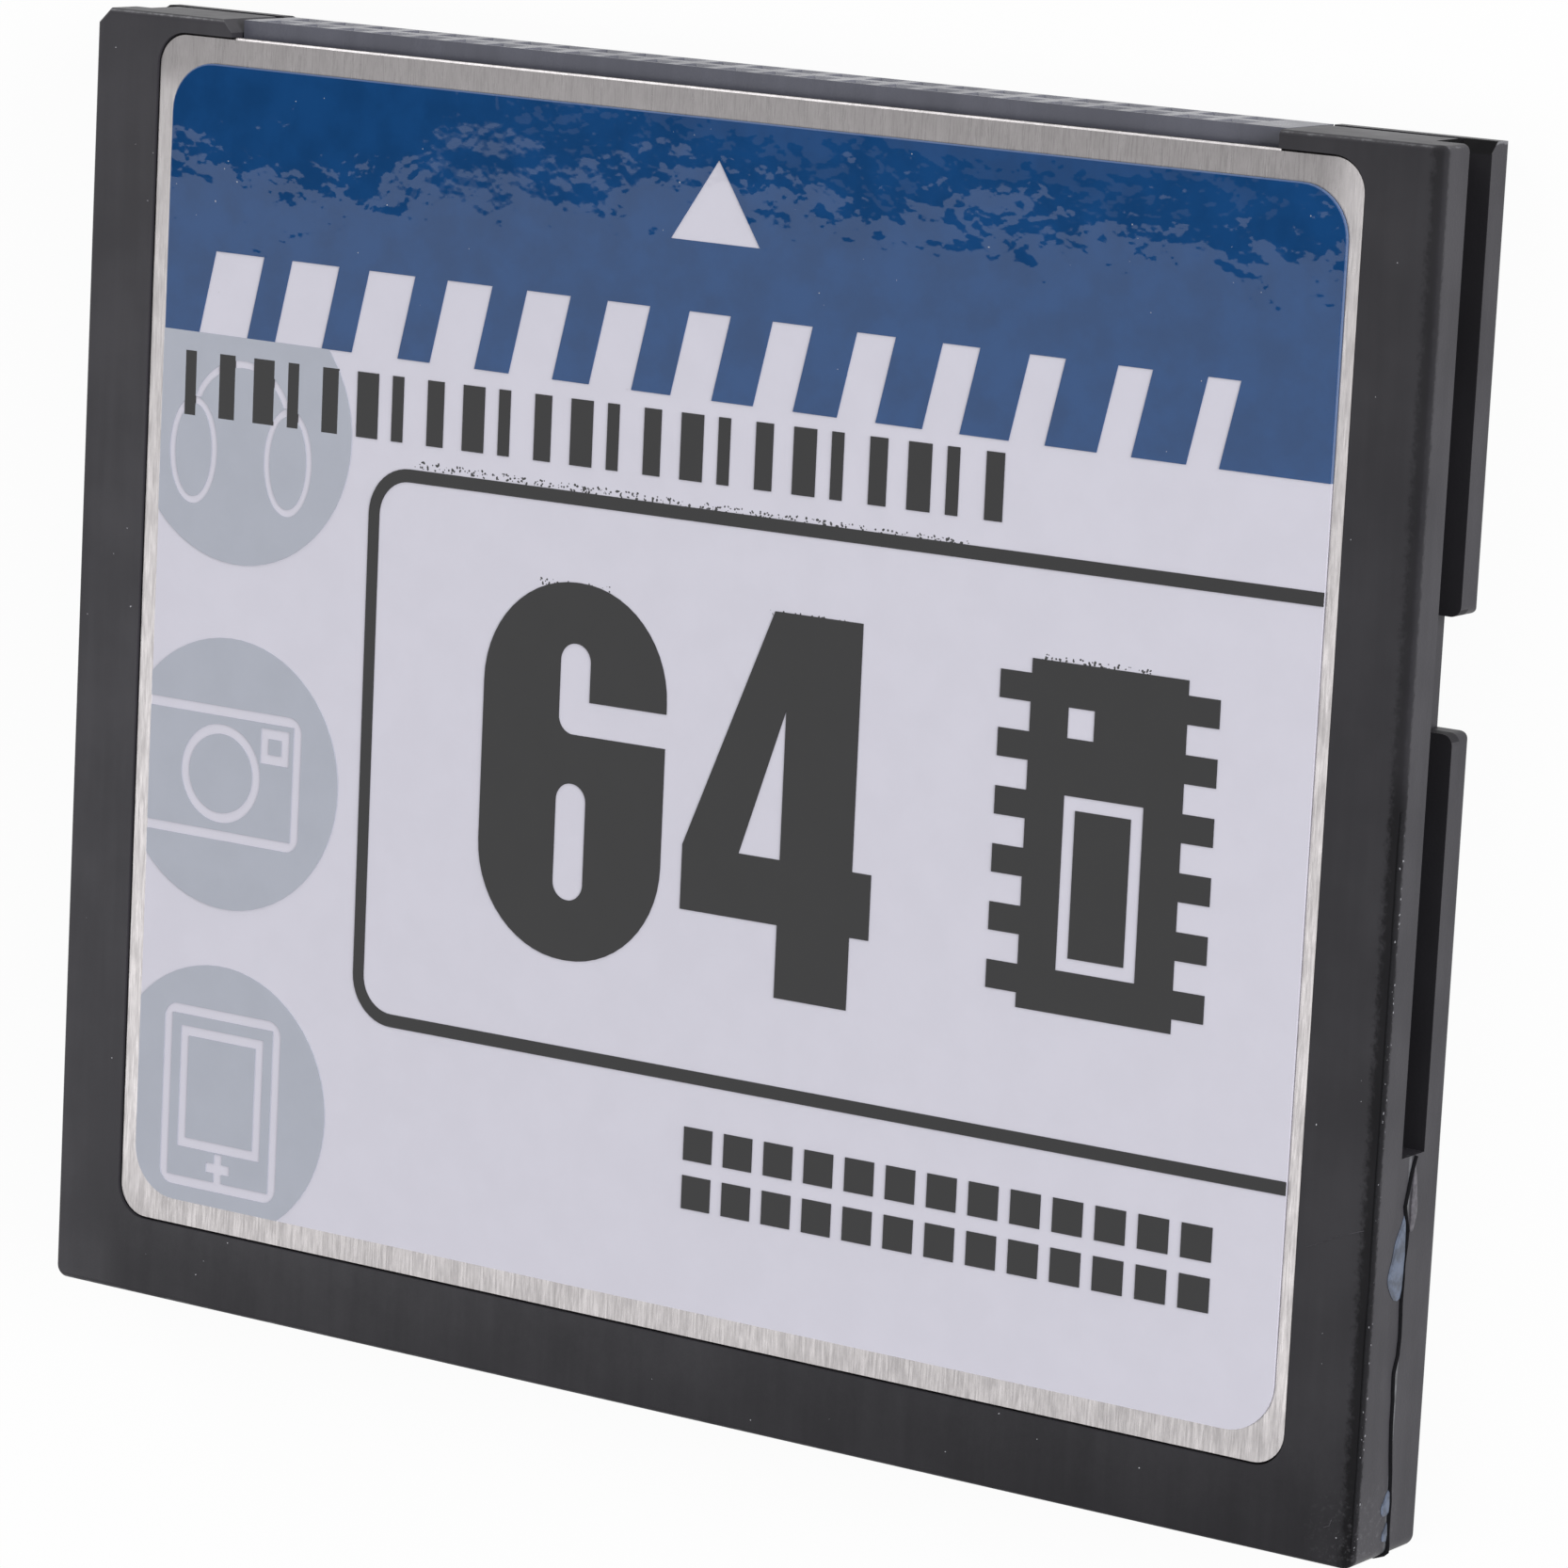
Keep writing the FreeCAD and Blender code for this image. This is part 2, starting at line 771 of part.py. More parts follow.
def bar_band():
    """Upright bars at an even pitch whose widths step up and start again."""
    bars = []
    for i in range(bar_count):
        x = bar_first_x + i * bar_pitch
        width = bar_narrow + bar_width_step * (i % bar_width_cycle)
        bars.append(ink_box(x, x + width, bar_bottom, bar_bottom + bar_height))
    return bars


def square_rows():
    """Two even rows of small squares."""
    squares = []
    for row in range(2):
        y = square_bottom + row * (square_size + square_row_gap)
        for i in range(square_count):
            x = square_first_x + i * square_pitch
            squares.append(ink_box(x, x + square_size, y, y + square_size))
    return squares


def label_print():
    """Dark print: frame, number, chip pictogram, band of bars and rows of squares."""
    second = figure_left + figure_width + figure_gap
    shapes = [
        print_frame(),
        figure_six(figure_left, figure_bottom),
        figure_four(second, figure_bottom),
        chip_pictogram(),
    ]
    shapes += bar_band() + square_rows()
    inside = label_outline(film_top, ink_top)
    printed = []
    for shape in shapes:
        printed += print_turned(shape).common(inside).Solids
    return Part.makeCompound(printed)


def camera_icon():
    line = icon_line
    far = disc_x - disc_radius - icon_corner
    body = ink_ring(far, camera_right, camera_bottom, camera_top, icon_corner, line)
    lens = ink_disc(camera_lens_x, camera_lens_y, camera_lens_radius)
    lens = lens.cut(ink_disc(camera_lens_x, camera_lens_y, camera_lens_radius - line))
    x1 = camera_right - camera_finder_inset
    y1 = camera_top - camera_finder_inset
    finder = ink_window(x1 - camera_finder_size, x1, y1 - camera_finder_size, y1, line)
    return [body, lens, finder]


def handheld_icon():
    line = icon_line
    body = ink_ring(handheld_left, handheld_right, handheld_bottom, handheld_top, icon_corner, line)
    y1 = handheld_top - screen_margin
    screen = ink_window(handheld_left + screen_margin, handheld_right - screen_margin, y1 - screen_height, y1,
                        line)
    key_y = handheld_bottom + key_rise
    middle = (handheld_left + handheld_right) / 2
    level = ink_box(middle - key_reach, middle + key_reach, key_y - line / 2, key_y + line / 2)
    upright = ink_box(middle - line / 2, middle + line / 2, key_y - key_reach, key_y + key_reach)
    return [body, screen, level.fuse(upright)]


def earpiece(x, y):
    """Upright oval ring."""
    height = ink_top - film_top
    rings = []
    for shrink in (0, headband_line):
        major = (earpiece_half_height - shrink) * art_unit
        minor = (earpiece_half_width - shrink) * art_unit
        oval = Part.Ellipse(Vector(0, 0, 0), major, minor).toShape()
        face = Part.Face(Part.Wire([oval]))
        face.rotate(Vector(0, 0, 0), Vector(0, 0, 1), 90)
        face.translate(Vector(x * stretch_x, y * stretch_y, film_top))
        rings.append(face.extrude(Vector(0, 0, height)))
    return rings[0].cut(rings[1])


def headphones_icon():
    """Two upright ovals joined by a round band over the top."""
    y = disc_ys[0] + earpiece_y
    left = earpiece(disc_x - earpiece_x, y)
    right = earpiece(disc_x + earpiece_x, y)
    band_y = y + headband_rise
    outer = earpiece_x + headband_line / 2
    band = ink_disc(disc_x, band_y, outer)
    band = band.cut(ink_disc(disc_x, band_y, outer - headband_line))
    upper_half = ink_box(disc_x - 2 * outer, disc_x + 2 * outer, y + earpiece_half_height, band_y + 2 * outer)
    return [left, right, band.common(upper_half)]


def label_discs():
    """Pale discs cut by the label's edge, each with a line pictogram left open to the film."""
    area = label_outline(film_top, ink_top)
    area = area.cut(box(label_left, label_right, header_bottom * stretch_y, label_top, film_top, ink_top))
    icons = headphones_icon() + camera_icon() + handheld_icon()
    bars = [print_turned(bar) for bar in bar_band()]
    pieces = []
    for y in disc_ys:
        shape = ink_disc(disc_x, y, disc_radius).common(area)
        pieces += shape.cut(icons + bars).Solids
    return Part.makeCompound(pieces)


def build():
    return {
        "front_shell": front_shell(),
        "rear_shell": rear_shell(),
        "seam_bead": seam_bead(),
        "front_panel": cover_panel(front_panel_bottom, front_panel_top),
        "rear_panel": cover_panel(rear_panel_bottom, rear_panel_bottom),
        "connector_housing": connector_housing(),
        "upper_contacts": contact_row(1),
        "lower_contacts": contact_row(-1),
        "circuit_board": circuit_board(),
        "controller": controller(),
        "controller_leads": controller_leads(),
        "flash_chip": flash_chip(),
        "flash_chip_leads": flash_chip_leads(),
        "capacitors": capacitors(),
        "resistors": resistors(),
        "voltage_regulator": voltage_regulator(),
        "label_film": label_film(),
        "label_header": label_header(),
        "label_print": label_print(),
        "label_discs": label_discs(),
    }


os.makedirs("parts", exist_ok=True)
for node, shape in build().items():
    shape.exportStep("parts/%s.step" % node)
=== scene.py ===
"""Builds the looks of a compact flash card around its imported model."""

import math

import bmesh
import bpy
from bpy.props import FloatProperty, FloatVectorProperty, PointerProperty
from mathutils import Matrix, Vector


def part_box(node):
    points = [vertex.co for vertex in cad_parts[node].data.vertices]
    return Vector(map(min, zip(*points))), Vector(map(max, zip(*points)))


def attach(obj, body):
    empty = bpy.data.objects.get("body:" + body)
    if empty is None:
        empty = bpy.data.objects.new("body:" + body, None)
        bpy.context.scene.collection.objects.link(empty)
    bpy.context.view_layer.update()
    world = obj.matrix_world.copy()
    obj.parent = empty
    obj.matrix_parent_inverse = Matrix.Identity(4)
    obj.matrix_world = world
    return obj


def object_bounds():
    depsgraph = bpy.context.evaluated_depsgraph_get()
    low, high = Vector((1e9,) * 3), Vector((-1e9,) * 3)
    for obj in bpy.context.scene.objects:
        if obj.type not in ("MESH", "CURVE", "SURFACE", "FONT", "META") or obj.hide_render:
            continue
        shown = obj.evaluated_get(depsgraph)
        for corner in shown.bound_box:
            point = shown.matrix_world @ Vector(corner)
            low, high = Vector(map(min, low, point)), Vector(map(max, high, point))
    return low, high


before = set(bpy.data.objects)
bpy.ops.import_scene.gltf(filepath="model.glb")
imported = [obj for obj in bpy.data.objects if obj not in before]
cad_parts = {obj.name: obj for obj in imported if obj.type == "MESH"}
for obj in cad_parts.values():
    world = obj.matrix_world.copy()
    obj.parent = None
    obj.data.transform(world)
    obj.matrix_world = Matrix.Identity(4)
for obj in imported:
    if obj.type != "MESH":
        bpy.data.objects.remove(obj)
CAD_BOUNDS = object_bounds()
MM = 0.001

bl_info = {
    "name": "Flash card looks",
    "version": (1, 0, 0),
    "blender": (4, 5, 0),
    "location": "3D View > Sidebar > Flash Card",
    "description": "Materials, surface detail and studio for a compact flash card",
    "category": "Object",
}

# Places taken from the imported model, in metres
CARD_LOW, CARD_HIGH = Vector(CAD_BOUNDS[0]), Vector(CAD_BOUNDS[1])
FILM_LOW, FILM_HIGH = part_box("label_film")
HEADER_LOW, HEADER_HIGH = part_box("label_header")
SEAM_LOW, SEAM_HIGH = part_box("seam_bead")
PANEL_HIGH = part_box("front_panel")[1]
NOSE_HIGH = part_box("connector_housing")[1]
FILM_TOP = FILM_HIGH.z
NOSE_TOP = (CARD_LOW.z + CARD_HIGH.z) / 2 + 1.15 * MM
SEAM_HEIGHT = (SEAM_LOW.z + SEAM_HIGH.z) / 2

# Outline of the dark card over the softbox, as places on the label in millimetres, heights from the softbox's edge
DARK_CARD_OUTLINE = ((-40, -1.4), (-13, -1.4), (-9, 0), (40, 0), (40, 2.4), (17, 2.2), (13, 1.4), (-7, 1.4), (-11, 6),
                     (-13, 26), (-40, 26))

# Strips of bare film over the print's upper edges, as left, right, height and reach in millimetres
FLECKED_EDGES = ((-9.8, 8.2, 6.57, 0.19), (-5.4, -3.1, 3.93, 0.2), (2.1, 4.6, 4.04, 0.16), (10.6, 14.2, 3.96, 0.16))

# Course of the seam on the groove side, as place along the card and height in millimetres
SEAM_LINE = ((-7.62, 1.33), (-8.2, 1.6), (-8.89, 1.79), (-9.53, 1.56), (-10.57, 1.62), (-11.39, 1.63),
             (-12.81, 1.6), (-13.3, 1.76), (-14.66, 1.7), (-15.98, 1.58), (-16.64, 1.5), (-18.07, 1.5))

# Dried smears and the burr by the groove's end, as place along the card, height, half length and width in millimetres
SMEARS = ((-10.2, 1.7, 1.08, 0.98), (-16.7, 1.6, 0.36, 0.5), (-17.5, 1.62, 0.26, 0.3))
BURR = (-8.62, 1.42, 0.95, -0.42)

# Faint scratches on the front face, as places across and along the card in millimetres
SCRATCHES = (
    ((19.5, -10.0), (19.9, -9.82), (20.35, -9.58), (21.1, -9.3)),
    ((20.5, -17.2), (20.66, -17.12), (20.72, -16.95)),
)


def display(red, green, blue):
    """Linear colour of display values from 0 to 255."""
    values = [c / 255 for c in (red, green, blue)]
    return tuple(c / 12.92 if c <= 0.04045 else ((c + 0.055) / 1.055) ** 2.4 for c in values)


def toned(colour, factor):
    return tuple(min(1, c * factor) for c in colour)


class StageSettings(bpy.types.PropertyGroup):
    camera_azimuth: FloatProperty(
        name="Camera azimuth", description="Direction of the camera, from +X towards +Y",
        default=math.radians(17.915), subtype="ANGLE")
    camera_elevation: FloatProperty(
        name="Camera elevation", description="Height of the camera above the floor as an angle",
        default=math.radians(55.163), subtype="ANGLE")
    camera_roll: FloatProperty(
        name="Camera roll", description="Turn of the picture about the line of sight",
        default=math.radians(2.944), subtype="ANGLE")
    camera_range: FloatProperty(
        name="Camera range", description="Distance from the aim point to the camera",
        default=189.203 * MM, unit="LENGTH")
    camera_aim: FloatVectorProperty(
        name="Camera aim", description="Point on the label at the middle of the picture",
        default=(2.833 * MM, -0.392 * MM, 3.3 * MM), subtype="TRANSLATION")
    camera_lens: FloatProperty(name="Lens", description="Focal length on a 36 mm sensor", default=164.1)
    world_light: FloatProperty(name="World light", description="Even light from all around", default=0.48, min=0)
    softbox_range: FloatProperty(
        name="Softbox range", description="Distance of the softbox that the label mirrors",
        default=0.5, unit="LENGTH")
    softbox_size: FloatVectorProperty(
        name="Softbox size", description="Width and height of the softbox", default=(0.44, 0.16), size=2,
        unit="LENGTH")
    softbox_edge: FloatProperty(
        name="Softbox edge", description="Height on the label at which the softbox's edge is mirrored",
        default=15.2 * MM, unit="LENGTH")
    softbox_power: FloatProperty(
        name="Softbox power", description="Power of the softbox in watts", default=0.45, min=0)
    side_lamp_power: FloatProperty(
        name="Side lamp power", description="Power in watts of the lamp on the side of the grooves",
        default=3.25, min=0)
    side_lamp_size: FloatProperty(
        name="Side lamp size", description="Side of the square side lamp", default=0.3, unit="LENGTH")
    side_lamp_place: FloatVectorProperty(
        name="Side lamp place", description="Middle of the side lamp",
        default=(0.45, 0.12, 0.12), subtype="TRANSLATION")
    end_lamp_power: FloatProperty(
        name="End lamp power", description="Power in watts of the lamp behind the connector edge",
        default=0.9, min=0)
    end_lamp_size: FloatProperty(
        name="End lamp size", description="Side of the square end lamp", default=0.2, unit="LENGTH")
    end_lamp_place: FloatVectorProperty(
        name="End lamp place", description="Middle of the end lamp",
        default=(-0.27, 0.41, 0.1), subtype="TRANSLATION")
    floor_size: FloatProperty(name="Floor size", description="Side of the floor", default=6.0, unit="LENGTH")
    floor_colour: FloatVectorProperty(
        name="Floor colour", description="Colour of the floor", default=(0.9, 0.9, 0.9), subtype="COLOR")
    floor_white: FloatProperty(
        name="Floor white", description="Share of plain white that the floor shows", default=0.94, min=0, max=1)


class PlasticSettings(bpy.types.PropertyGroup):
    shell_colour: FloatVectorProperty(
        name="Shell colour", description="Colour of the moulded shells",
        default=display(48, 47, 51), subtype="COLOR")
    worn_colour: FloatVectorProperty(
        name="Worn colour", description="Colour of rubbed edges and scuffs",
        default=display(118, 118, 122), subtype="COLOR")
    nose_colour: FloatVectorProperty(
        name="Connector colour", description="Colour of the connector block",
        default=display(87, 88, 98), subtype="COLOR")
    grain_size: FloatProperty(
        name="Grain size", description="Size of the moulded grain", default=0.09 * MM, unit="LENGTH")
    grain_depth: FloatProperty(
        name="Grain depth", description="Depth of the moulded grain", default=0.003 * MM, unit="LENGTH")
    groove_wall: FloatProperty(
        name="Groove wall", description="Distance of the grooves' inner wall from the card's middle",
        default=CARD_HIGH.x - 0.95 * MM, unit="LENGTH")
    # Painted shade: a ragged dark band along the rounded front edge stands in for its dark reflection
    painted_edge_band_width: FloatProperty(
        name="Dark edge width", description="Width of the ragged dark band along the front edge",
        default=0.48 * MM, unit="LENGTH")
    painted_edge_band_end: FloatProperty(
        name="Dark edge end", description="Place along the card up to which the band is darkest",
        default=1.5 * MM, unit="LENGTH")
    wear_width: FloatProperty(
        name="Wear width", description="How far wear reaches from an edge", default=0.22 * MM, unit="LENGTH")
    roughness: FloatProperty(
        name="Roughness", description="Roughness of the moulded shells", default=0.42, min=0, max=1)
    nose_roughness: FloatProperty(
        name="Connector roughness", description="Roughness of the connector block", default=0.27, min=0, max=1)


class MetalSettings(bpy.types.PropertyGroup):
    panel_colour: FloatVectorProperty(
        name="Panel colour", description="Colour of the cover panels",
        default=(0.31, 0.295, 0.297), subtype="COLOR")
    brush_spacing: FloatProperty(
        name="Brush spacing", description="Distance between brush lines", default=0.05 * MM, unit="LENGTH")
    brush_length: FloatProperty(
        name="Brush length", description="Length of the brush lines", default=0.9 * MM, unit="LENGTH")
    brush_depth: FloatProperty(
        name="Brush depth", description="Depth of the brush lines", default=0.0011 * MM, unit="LENGTH")
    plating_colour: FloatVectorProperty(
        name="Plating colour", description="Colour of the gold plated contacts",
        default=(0.86, 0.62, 0.27), subtype="COLOR")
    tin_colour: FloatVectorProperty(
        name="Tin colour", description="Colour of the tinned leads", default=(0.72, 0.72, 0.7), subtype="COLOR")


class LabelSettings(bpy.types.PropertyGroup):
    film_colour: FloatVectorProperty(
        name="Film colour", description="Colour of the bare film",
        default=display(202, 200, 212), subtype="COLOR")
    header_colour: FloatVectorProperty(
        name="Header colour", description="Colour of the printed header",
        default=display(22, 65, 114), subtype="COLOR")
    film_corner: FloatProperty(
        name="Film corner", description="Radius of the film's corners", default=1.4 * MM, unit="LENGTH")
    rim_width: FloatProperty(
        name="Rim width", description="Width of the bare rim round the header", default=0.06 * MM, unit="LENGTH")
    header_rim_colour: FloatVectorProperty(
        name="Header rim colour", description="Colour of the film's rim round the header, where the blue runs out",
        default=display(98, 118, 156), subtype="COLOR")
    ink_colour: FloatVectorProperty(
        name="Ink colour", description="Colour of the dark print", default=display(22, 22, 24), subtype="COLOR")
    disc_colour: FloatVectorProperty(
        name="Disc colour", description="Colour of the pale discs", default=display(164, 168, 180), subtype="COLOR")
    ripple_size: FloatProperty(
        name="Ripple size", description="Size of the waves in the film", default=4.5 * MM, unit="LENGTH")
    ripple_depth: FloatProperty(
        name="Ripple depth", description="Depth of the waves in the film", default=0.03 * MM, unit="LENGTH")
    fine_ripple_size: FloatProperty(
        name="Fine ripple size", description="Size of the fine pits in the film", default=0.5 * MM, unit="LENGTH")
    fine_ripple_depth: FloatProperty(
        name="Fine ripple depth", description="Depth of the fine pits in the film",
        default=0.0014 * MM, unit="LENGTH")
    film_roughness: FloatProperty(
        name="Film roughness", description="Roughness of the film's gloss", default=0.02, min=0, max=1)
    fleck_density: FloatProperty(
        name="Fleck density", description="Ink flecks on each square metre beside the print",
        default=1.1e8, min=0)
    fleck_size: FloatProperty(
        name="Fleck size", description="Size of the largest ink fleck", default=0.085 * MM, unit="LENGTH")


class SeamSettings(bpy.types.PropertyGroup):
    flash_radius: FloatProperty(
        name="Seam line radius", description="Half the width of the dark line along the seam",
        default=0.095 * MM, unit="LENGTH")
    flash_wander: FloatProperty(
        name="Seam line wander", description="How far the dark line strays from the seam",
        default=0.06 * MM, unit="LENGTH")
    flash_colour: FloatVectorProperty(
        name="Seam line colour", description="Colour of the dark line along the seam",
        default=display(18, 18, 20), subtype="COLOR")
    adhesive_colour: FloatVectorProperty(
        name="Adhesive colour", description="Colour of the dried adhesive",
        default=display(60, 68, 84), subtype="COLOR")
    burr_colour: FloatVectorProperty(
        name="Burr colour", description="Colour of the raised burr beside the groove's end",
        default=display(74, 72, 77), subtype="COLOR")


class WearSettings(bpy.types.PropertyGroup):
    dust_colour: FloatVectorProperty(
        name="Dust colour", description="Colour of dust specks", default=display(176, 176, 182), subtype="COLOR")
    dust_density: FloatProperty(
        name="Dust density", description="Dust specks on each square metre", default=1.5e5, min=0)
    dust_size: FloatProperty(
        name="Dust size", description="Size of the largest dust speck", default=0.042 * MM, unit="LENGTH")
    nick_density: FloatProperty(
        name="Nick density", description="Rough nicks on each square metre of the worn edge",
        default=4.5e7, min=0)
    nick_size: FloatProperty(
        name="Nick size", description="Size of the largest nick", default=0.08 * MM, unit="LENGTH")
    scratch_colour: FloatVectorProperty(
        name="Scratch colour", description="Colour of a faint scratch", default=display(66, 65, 69),
        subtype="COLOR")
    scratch_radius: FloatProperty(
        name="Scratch radius", description="Half the width of a faint scratch", default=0.012 * MM, unit="LENGTH")
    # Painted shade: a dark ridge on the front edge's arris stands in for the rounded edge's dark reflection
    painted_edge_line_end: FloatProperty(
        name="Rough edge end", description="Place along the card up to which the front edge is rough",
        default=1.5 * MM, unit="LENGTH")
    painted_edge_line_radius: FloatProperty(
        name="Rough edge radius", description="Half the width of the ragged dark edge line",
        default=0.04 * MM, unit="LENGTH")


SETTINGS = {
    "card_stage": StageSettings,
    "card_plastic": PlasticSettings,
    "card_metal": MetalSettings,
    "card_label": LabelSettings,
    "card_seam": SeamSettings,
    "card_wear": WearSettings,
}


# Node helpers, for materials and for geometry alike

class Value:
    """Output of a node, on which Python's operators add maths nodes to the same tree."""

    def __init__(self, socket):
        self.socket = socket
        self.tree = socket.id_data

    def __add__(self, other):
        return calc("ADD", self, other)

    def __sub__(self, other):
        return calc("SUBTRACT", self, other)

    def __rsub__(self, other):
        return calc("SUBTRACT", other, self)

    def __mul__(self, other):
        return calc("MULTIPLY", self, other)

    def __truediv__(self, other):
        return calc("DIVIDE", self, other)

    def __rtruediv__(self, other):
        return calc("DIVIDE", other, self)

    def __abs__(self):
        return calc("ABSOLUTE", self)

    def __gt__(self, other):
        return calc("GREATER_THAN", self, other)

    def __lt__(self, other):
        return calc("LESS_THAN", self, other)


def feed(socket, value):
    if isinstance(value, Value):
        value.tree.links.new(value.socket, socket)
    elif socket.type == "RGBA" and len(value) == 3:
        socket.default_value = (*value, 1.0)
    else:
        socket.default_value = value


def add_node(tree, kind, inputs=None, **settings):
    """New node with its settings, and its inputs by name or number."""
    node = tree.nodes.new(kind)
    for name, value in settings.items():
        setattr(node, name, value)
    for name, value in (inputs or {}).items():
        feed(node.inputs[name], value)
    return node


def node_value(tree, kind, inputs=None, output=0, **settings):
    return Value(add_node(tree, kind, inputs, **settings).outputs[output])


def values_of(node):
    return {socket.name: Value(socket) for socket in node.outputs}


def calc(operation, *values, clamp=False):
    tree = next(value.tree for value in values if isinstance(value, Value))
    return node_value(tree, "ShaderNodeMath", dict(enumerate(values)), operation=operation, use_clamp=clamp)


def smaller(first, second):
    return calc("MINIMUM", first, second)


def larger(first, second):
    return calc("MAXIMUM", first, second)


def smooth_band(value, low, high, result_low=0.0, result_high=1.0):
    return node_value(value.tree, "ShaderNodeMapRange", {
        "Value": value, "From Min": low, "From Max": high, "To Min": result_low, "To Max": result_high},
        "Result", interpolation_type="SMOOTHSTEP")


def between(value, low, high, blur):
    """One inside the range and zero outside it, with soft ends."""
    return smooth_band(value, low - blur, low + blur) * smooth_band(value, high - blur, high + blur, 1.0, 0.0)


def axes(vector):
    split = add_node(vector.tree, "ShaderNodeSeparateXYZ", {"Vector": vector})
    return [Value(socket) for socket in split.outputs]


def scaled(vector, factor):
    return node_value(vector.tree, "ShaderNodeVectorMath", {0: vector, "Scale": factor}, "Vector", operation="SCALE")


def mix_colours(share, first, second):
    return node_value(share.tree, "ShaderNodeMix", {0: share, 6: first, 7: second}, 2, data_type="RGBA")


def two_tones(value, low, high, colour, deep, pale):
    """The colour times deep where the value is low, and times pale where it is high."""
    return mix_colours(smooth_band(value, low, high), toned(colour, deep), toned(colour, pale))


def texture(vector, scale, detail, roughness=0.5):
    return node_value(vector.tree, "ShaderNodeTexNoise", {
        "Vector": vector, "Scale": scale, "Detail": detail, "Roughness": roughness}, "Fac")


def noise(vector, size, detail=3.0, roughness=0.55, stretch=(1, 1, 1)):
    """Noise whose features have about the given size in metres; stretch lengthens them by axis."""
    mapped = node_value(vector.tree, "ShaderNodeMapping", {
        "Vector": vector, "Scale": tuple(1 / s for s in stretch)}, "Vector")
    return texture(mapped, 1 / size, detail, roughness)


def bump(height, depth):
    return node_value(height.tree, "ShaderNodeBump", {"Strength": 1.0, "Distance": depth, "Height": height}, "Normal")


# Shader node groups, each used by more than one material

def new_group(name, numbers, outputs):
    """Shader node group over a place; returns its given values and its output node."""
    tree = bpy.data.node_groups.new(name, "ShaderNodeTree")
    tree.interface.new_socket(name="Vector", in_out="INPUT", socket_type="NodeSocketVector")
    for label, default in numbers.items():
        socket = tree.interface.new_socket(name=label, in_out="INPUT", socket_type="NodeSocketFloat")
        socket.default_value = default
    for label in outputs:
        kind = "NodeSocketVector" if label == "Normal" else "NodeSocketFloat"
        tree.interface.new_socket(name=label, in_out="OUTPUT", socket_type=kind)
    return values_of(tree.nodes.new("NodeGroupInput")), tree.nodes.new("NodeGroupOutput")


def moulded_grain_group():
    """Fine grain of a spark-eroded mould, with a faint cloudy tone."""
    given, result = new_group("moulded_grain", {"Grain Size": 0.0001}, ("Height", "Tone"))
    place = given["Vector"]
    streak = noise(place, 0.5 * MM, stretch=(1, 14, 1))
    feed(result.inputs["Height"], texture(place, 1 / given["Grain Size"], 2.0, 0.6))
    feed(result.inputs["Tone"], (streak - 0.5) * 0.5 + noise(place, 3.5 * MM, 4.0))
    return result.id_data


def worn_edge_group():
    """Mask of patchy wear along the card's outer edges."""
    given, result = new_group("worn_edges", {"Width": 0.0002, "Cover": 0.5}, ("Mask",))
    x, y, z = axes(given["Vector"])
    across, along = CARD_HIGH.x - abs(x), CARD_HIGH.y - abs(y)
    over = smaller(z, CARD_HIGH.z - z)
    middle = larger(smaller(across, along), smaller(larger(across, along), over))
    near = calc("SUBTRACT", 1.0, middle / given["Width"], clamp=True)
    patchy = noise(given["Vector"], 0.35 * MM, 5.0, 0.7)
    start = 1 - given["Cover"]
    feed(result.inputs["Mask"], smooth_band(near + (patchy - 0.5), start, start + 0.3))
    return result.id_data


def edge_shade_and_scuffs_group():
    """Painted shade in the grooves and along the ragged front edge, painted light and shade across the face, and mask
    of pale scuffs at one corner.
    """
    given, result = new_group(
        "edge_shade_and_scuffs", {"Groove Wall": 0.0204, "Edge Width": 0.0003, "Edge End": 0.0015}, ("Shade", "Scuffs"))
    place, width, end = given["Vector"], given["Edge Width"], given["Edge End"]
    x, y, z = axes(place)
    ragged = noise(place, 0.16 * MM, 5.0, 0.75, (1, 1.3, 1))
    wobble = (ragged - 0.5) * (0.6 * MM)
    side = abs(x)
    # Painted shade inside the grooves, darker still at their open mouths
    groove = (side > given["Groove Wall"] - 0.03 * MM) * (side < CARD_HIGH.x - 0.02 * MM)
    groove = groove * between(z, 0.5 * MM, 2.05 * MM, 0.02 * MM) * (y > SEAM_HIGH.y + 0.01 * MM)
    mouth = groove * smooth_band(y, CARD_HIGH.y - 0.34 * MM, CARD_HIGH.y - 0.28 * MM)
    # Painted shade: a ragged dark band standing in for the dark reflection of the rounded front edge
    band = smooth_band(CARD_HIGH.x - x + wobble, width * 0.45, width, 1.0, 0.0)
    band = band * smooth_band(z + wobble * 0.6, CARD_HIGH.z - 0.28 * MM, CARD_HIGH.z - 0.14 * MM)
    dark = band * smooth_band(y, end, end + 1.2 * MM, 0.66, 0.42)
    # Painted light and shade across the face: paler at the left, darker towards the tail and the right
    tail = smooth_band(y + ragged * (2 * MM), CARD_LOW.y + MM, CARD_LOW.y + 6 * MM, 0.66, 1.0)
    left = smooth_band(x, CARD_LOW.x, CARD_LOW.x + 7 * MM, 1.0, 0.0)
    rubbed_and_painted_light = larger(tail, left) * smooth_band(x, -0.6 * CARD_HIGH.x, 0.9 * CARD_HIGH.x, 1.2, 0.86)
    face = smooth_band(z, CARD_HIGH.z - 0.1 * MM, CARD_HIGH.z - 0.02 * MM)
    shade = (1 - groove * 0.4) * (1 - mouth * 0.78) * (1 - dark) * ((rubbed_and_painted_light - 1) * face + 1)
    corner = node_value(place.tree, "ShaderNodeVectorMath", {
        0: place, 1: (CARD_HIGH.x, CARD_LOW.y + 0.8 * MM, 2.5 * MM)}, "Value", operation="DISTANCE")
    marks = noise(place, 0.16 * MM, 5.0, 0.75)
    feed(result.inputs["Shade"], shade)
    feed(result.inputs["Scuffs"], smooth_band(corner, 0.5 * MM, 2.0 * MM, 1.0, 0.0) * smooth_band(marks, 0.52, 0.66))
    return result.id_data


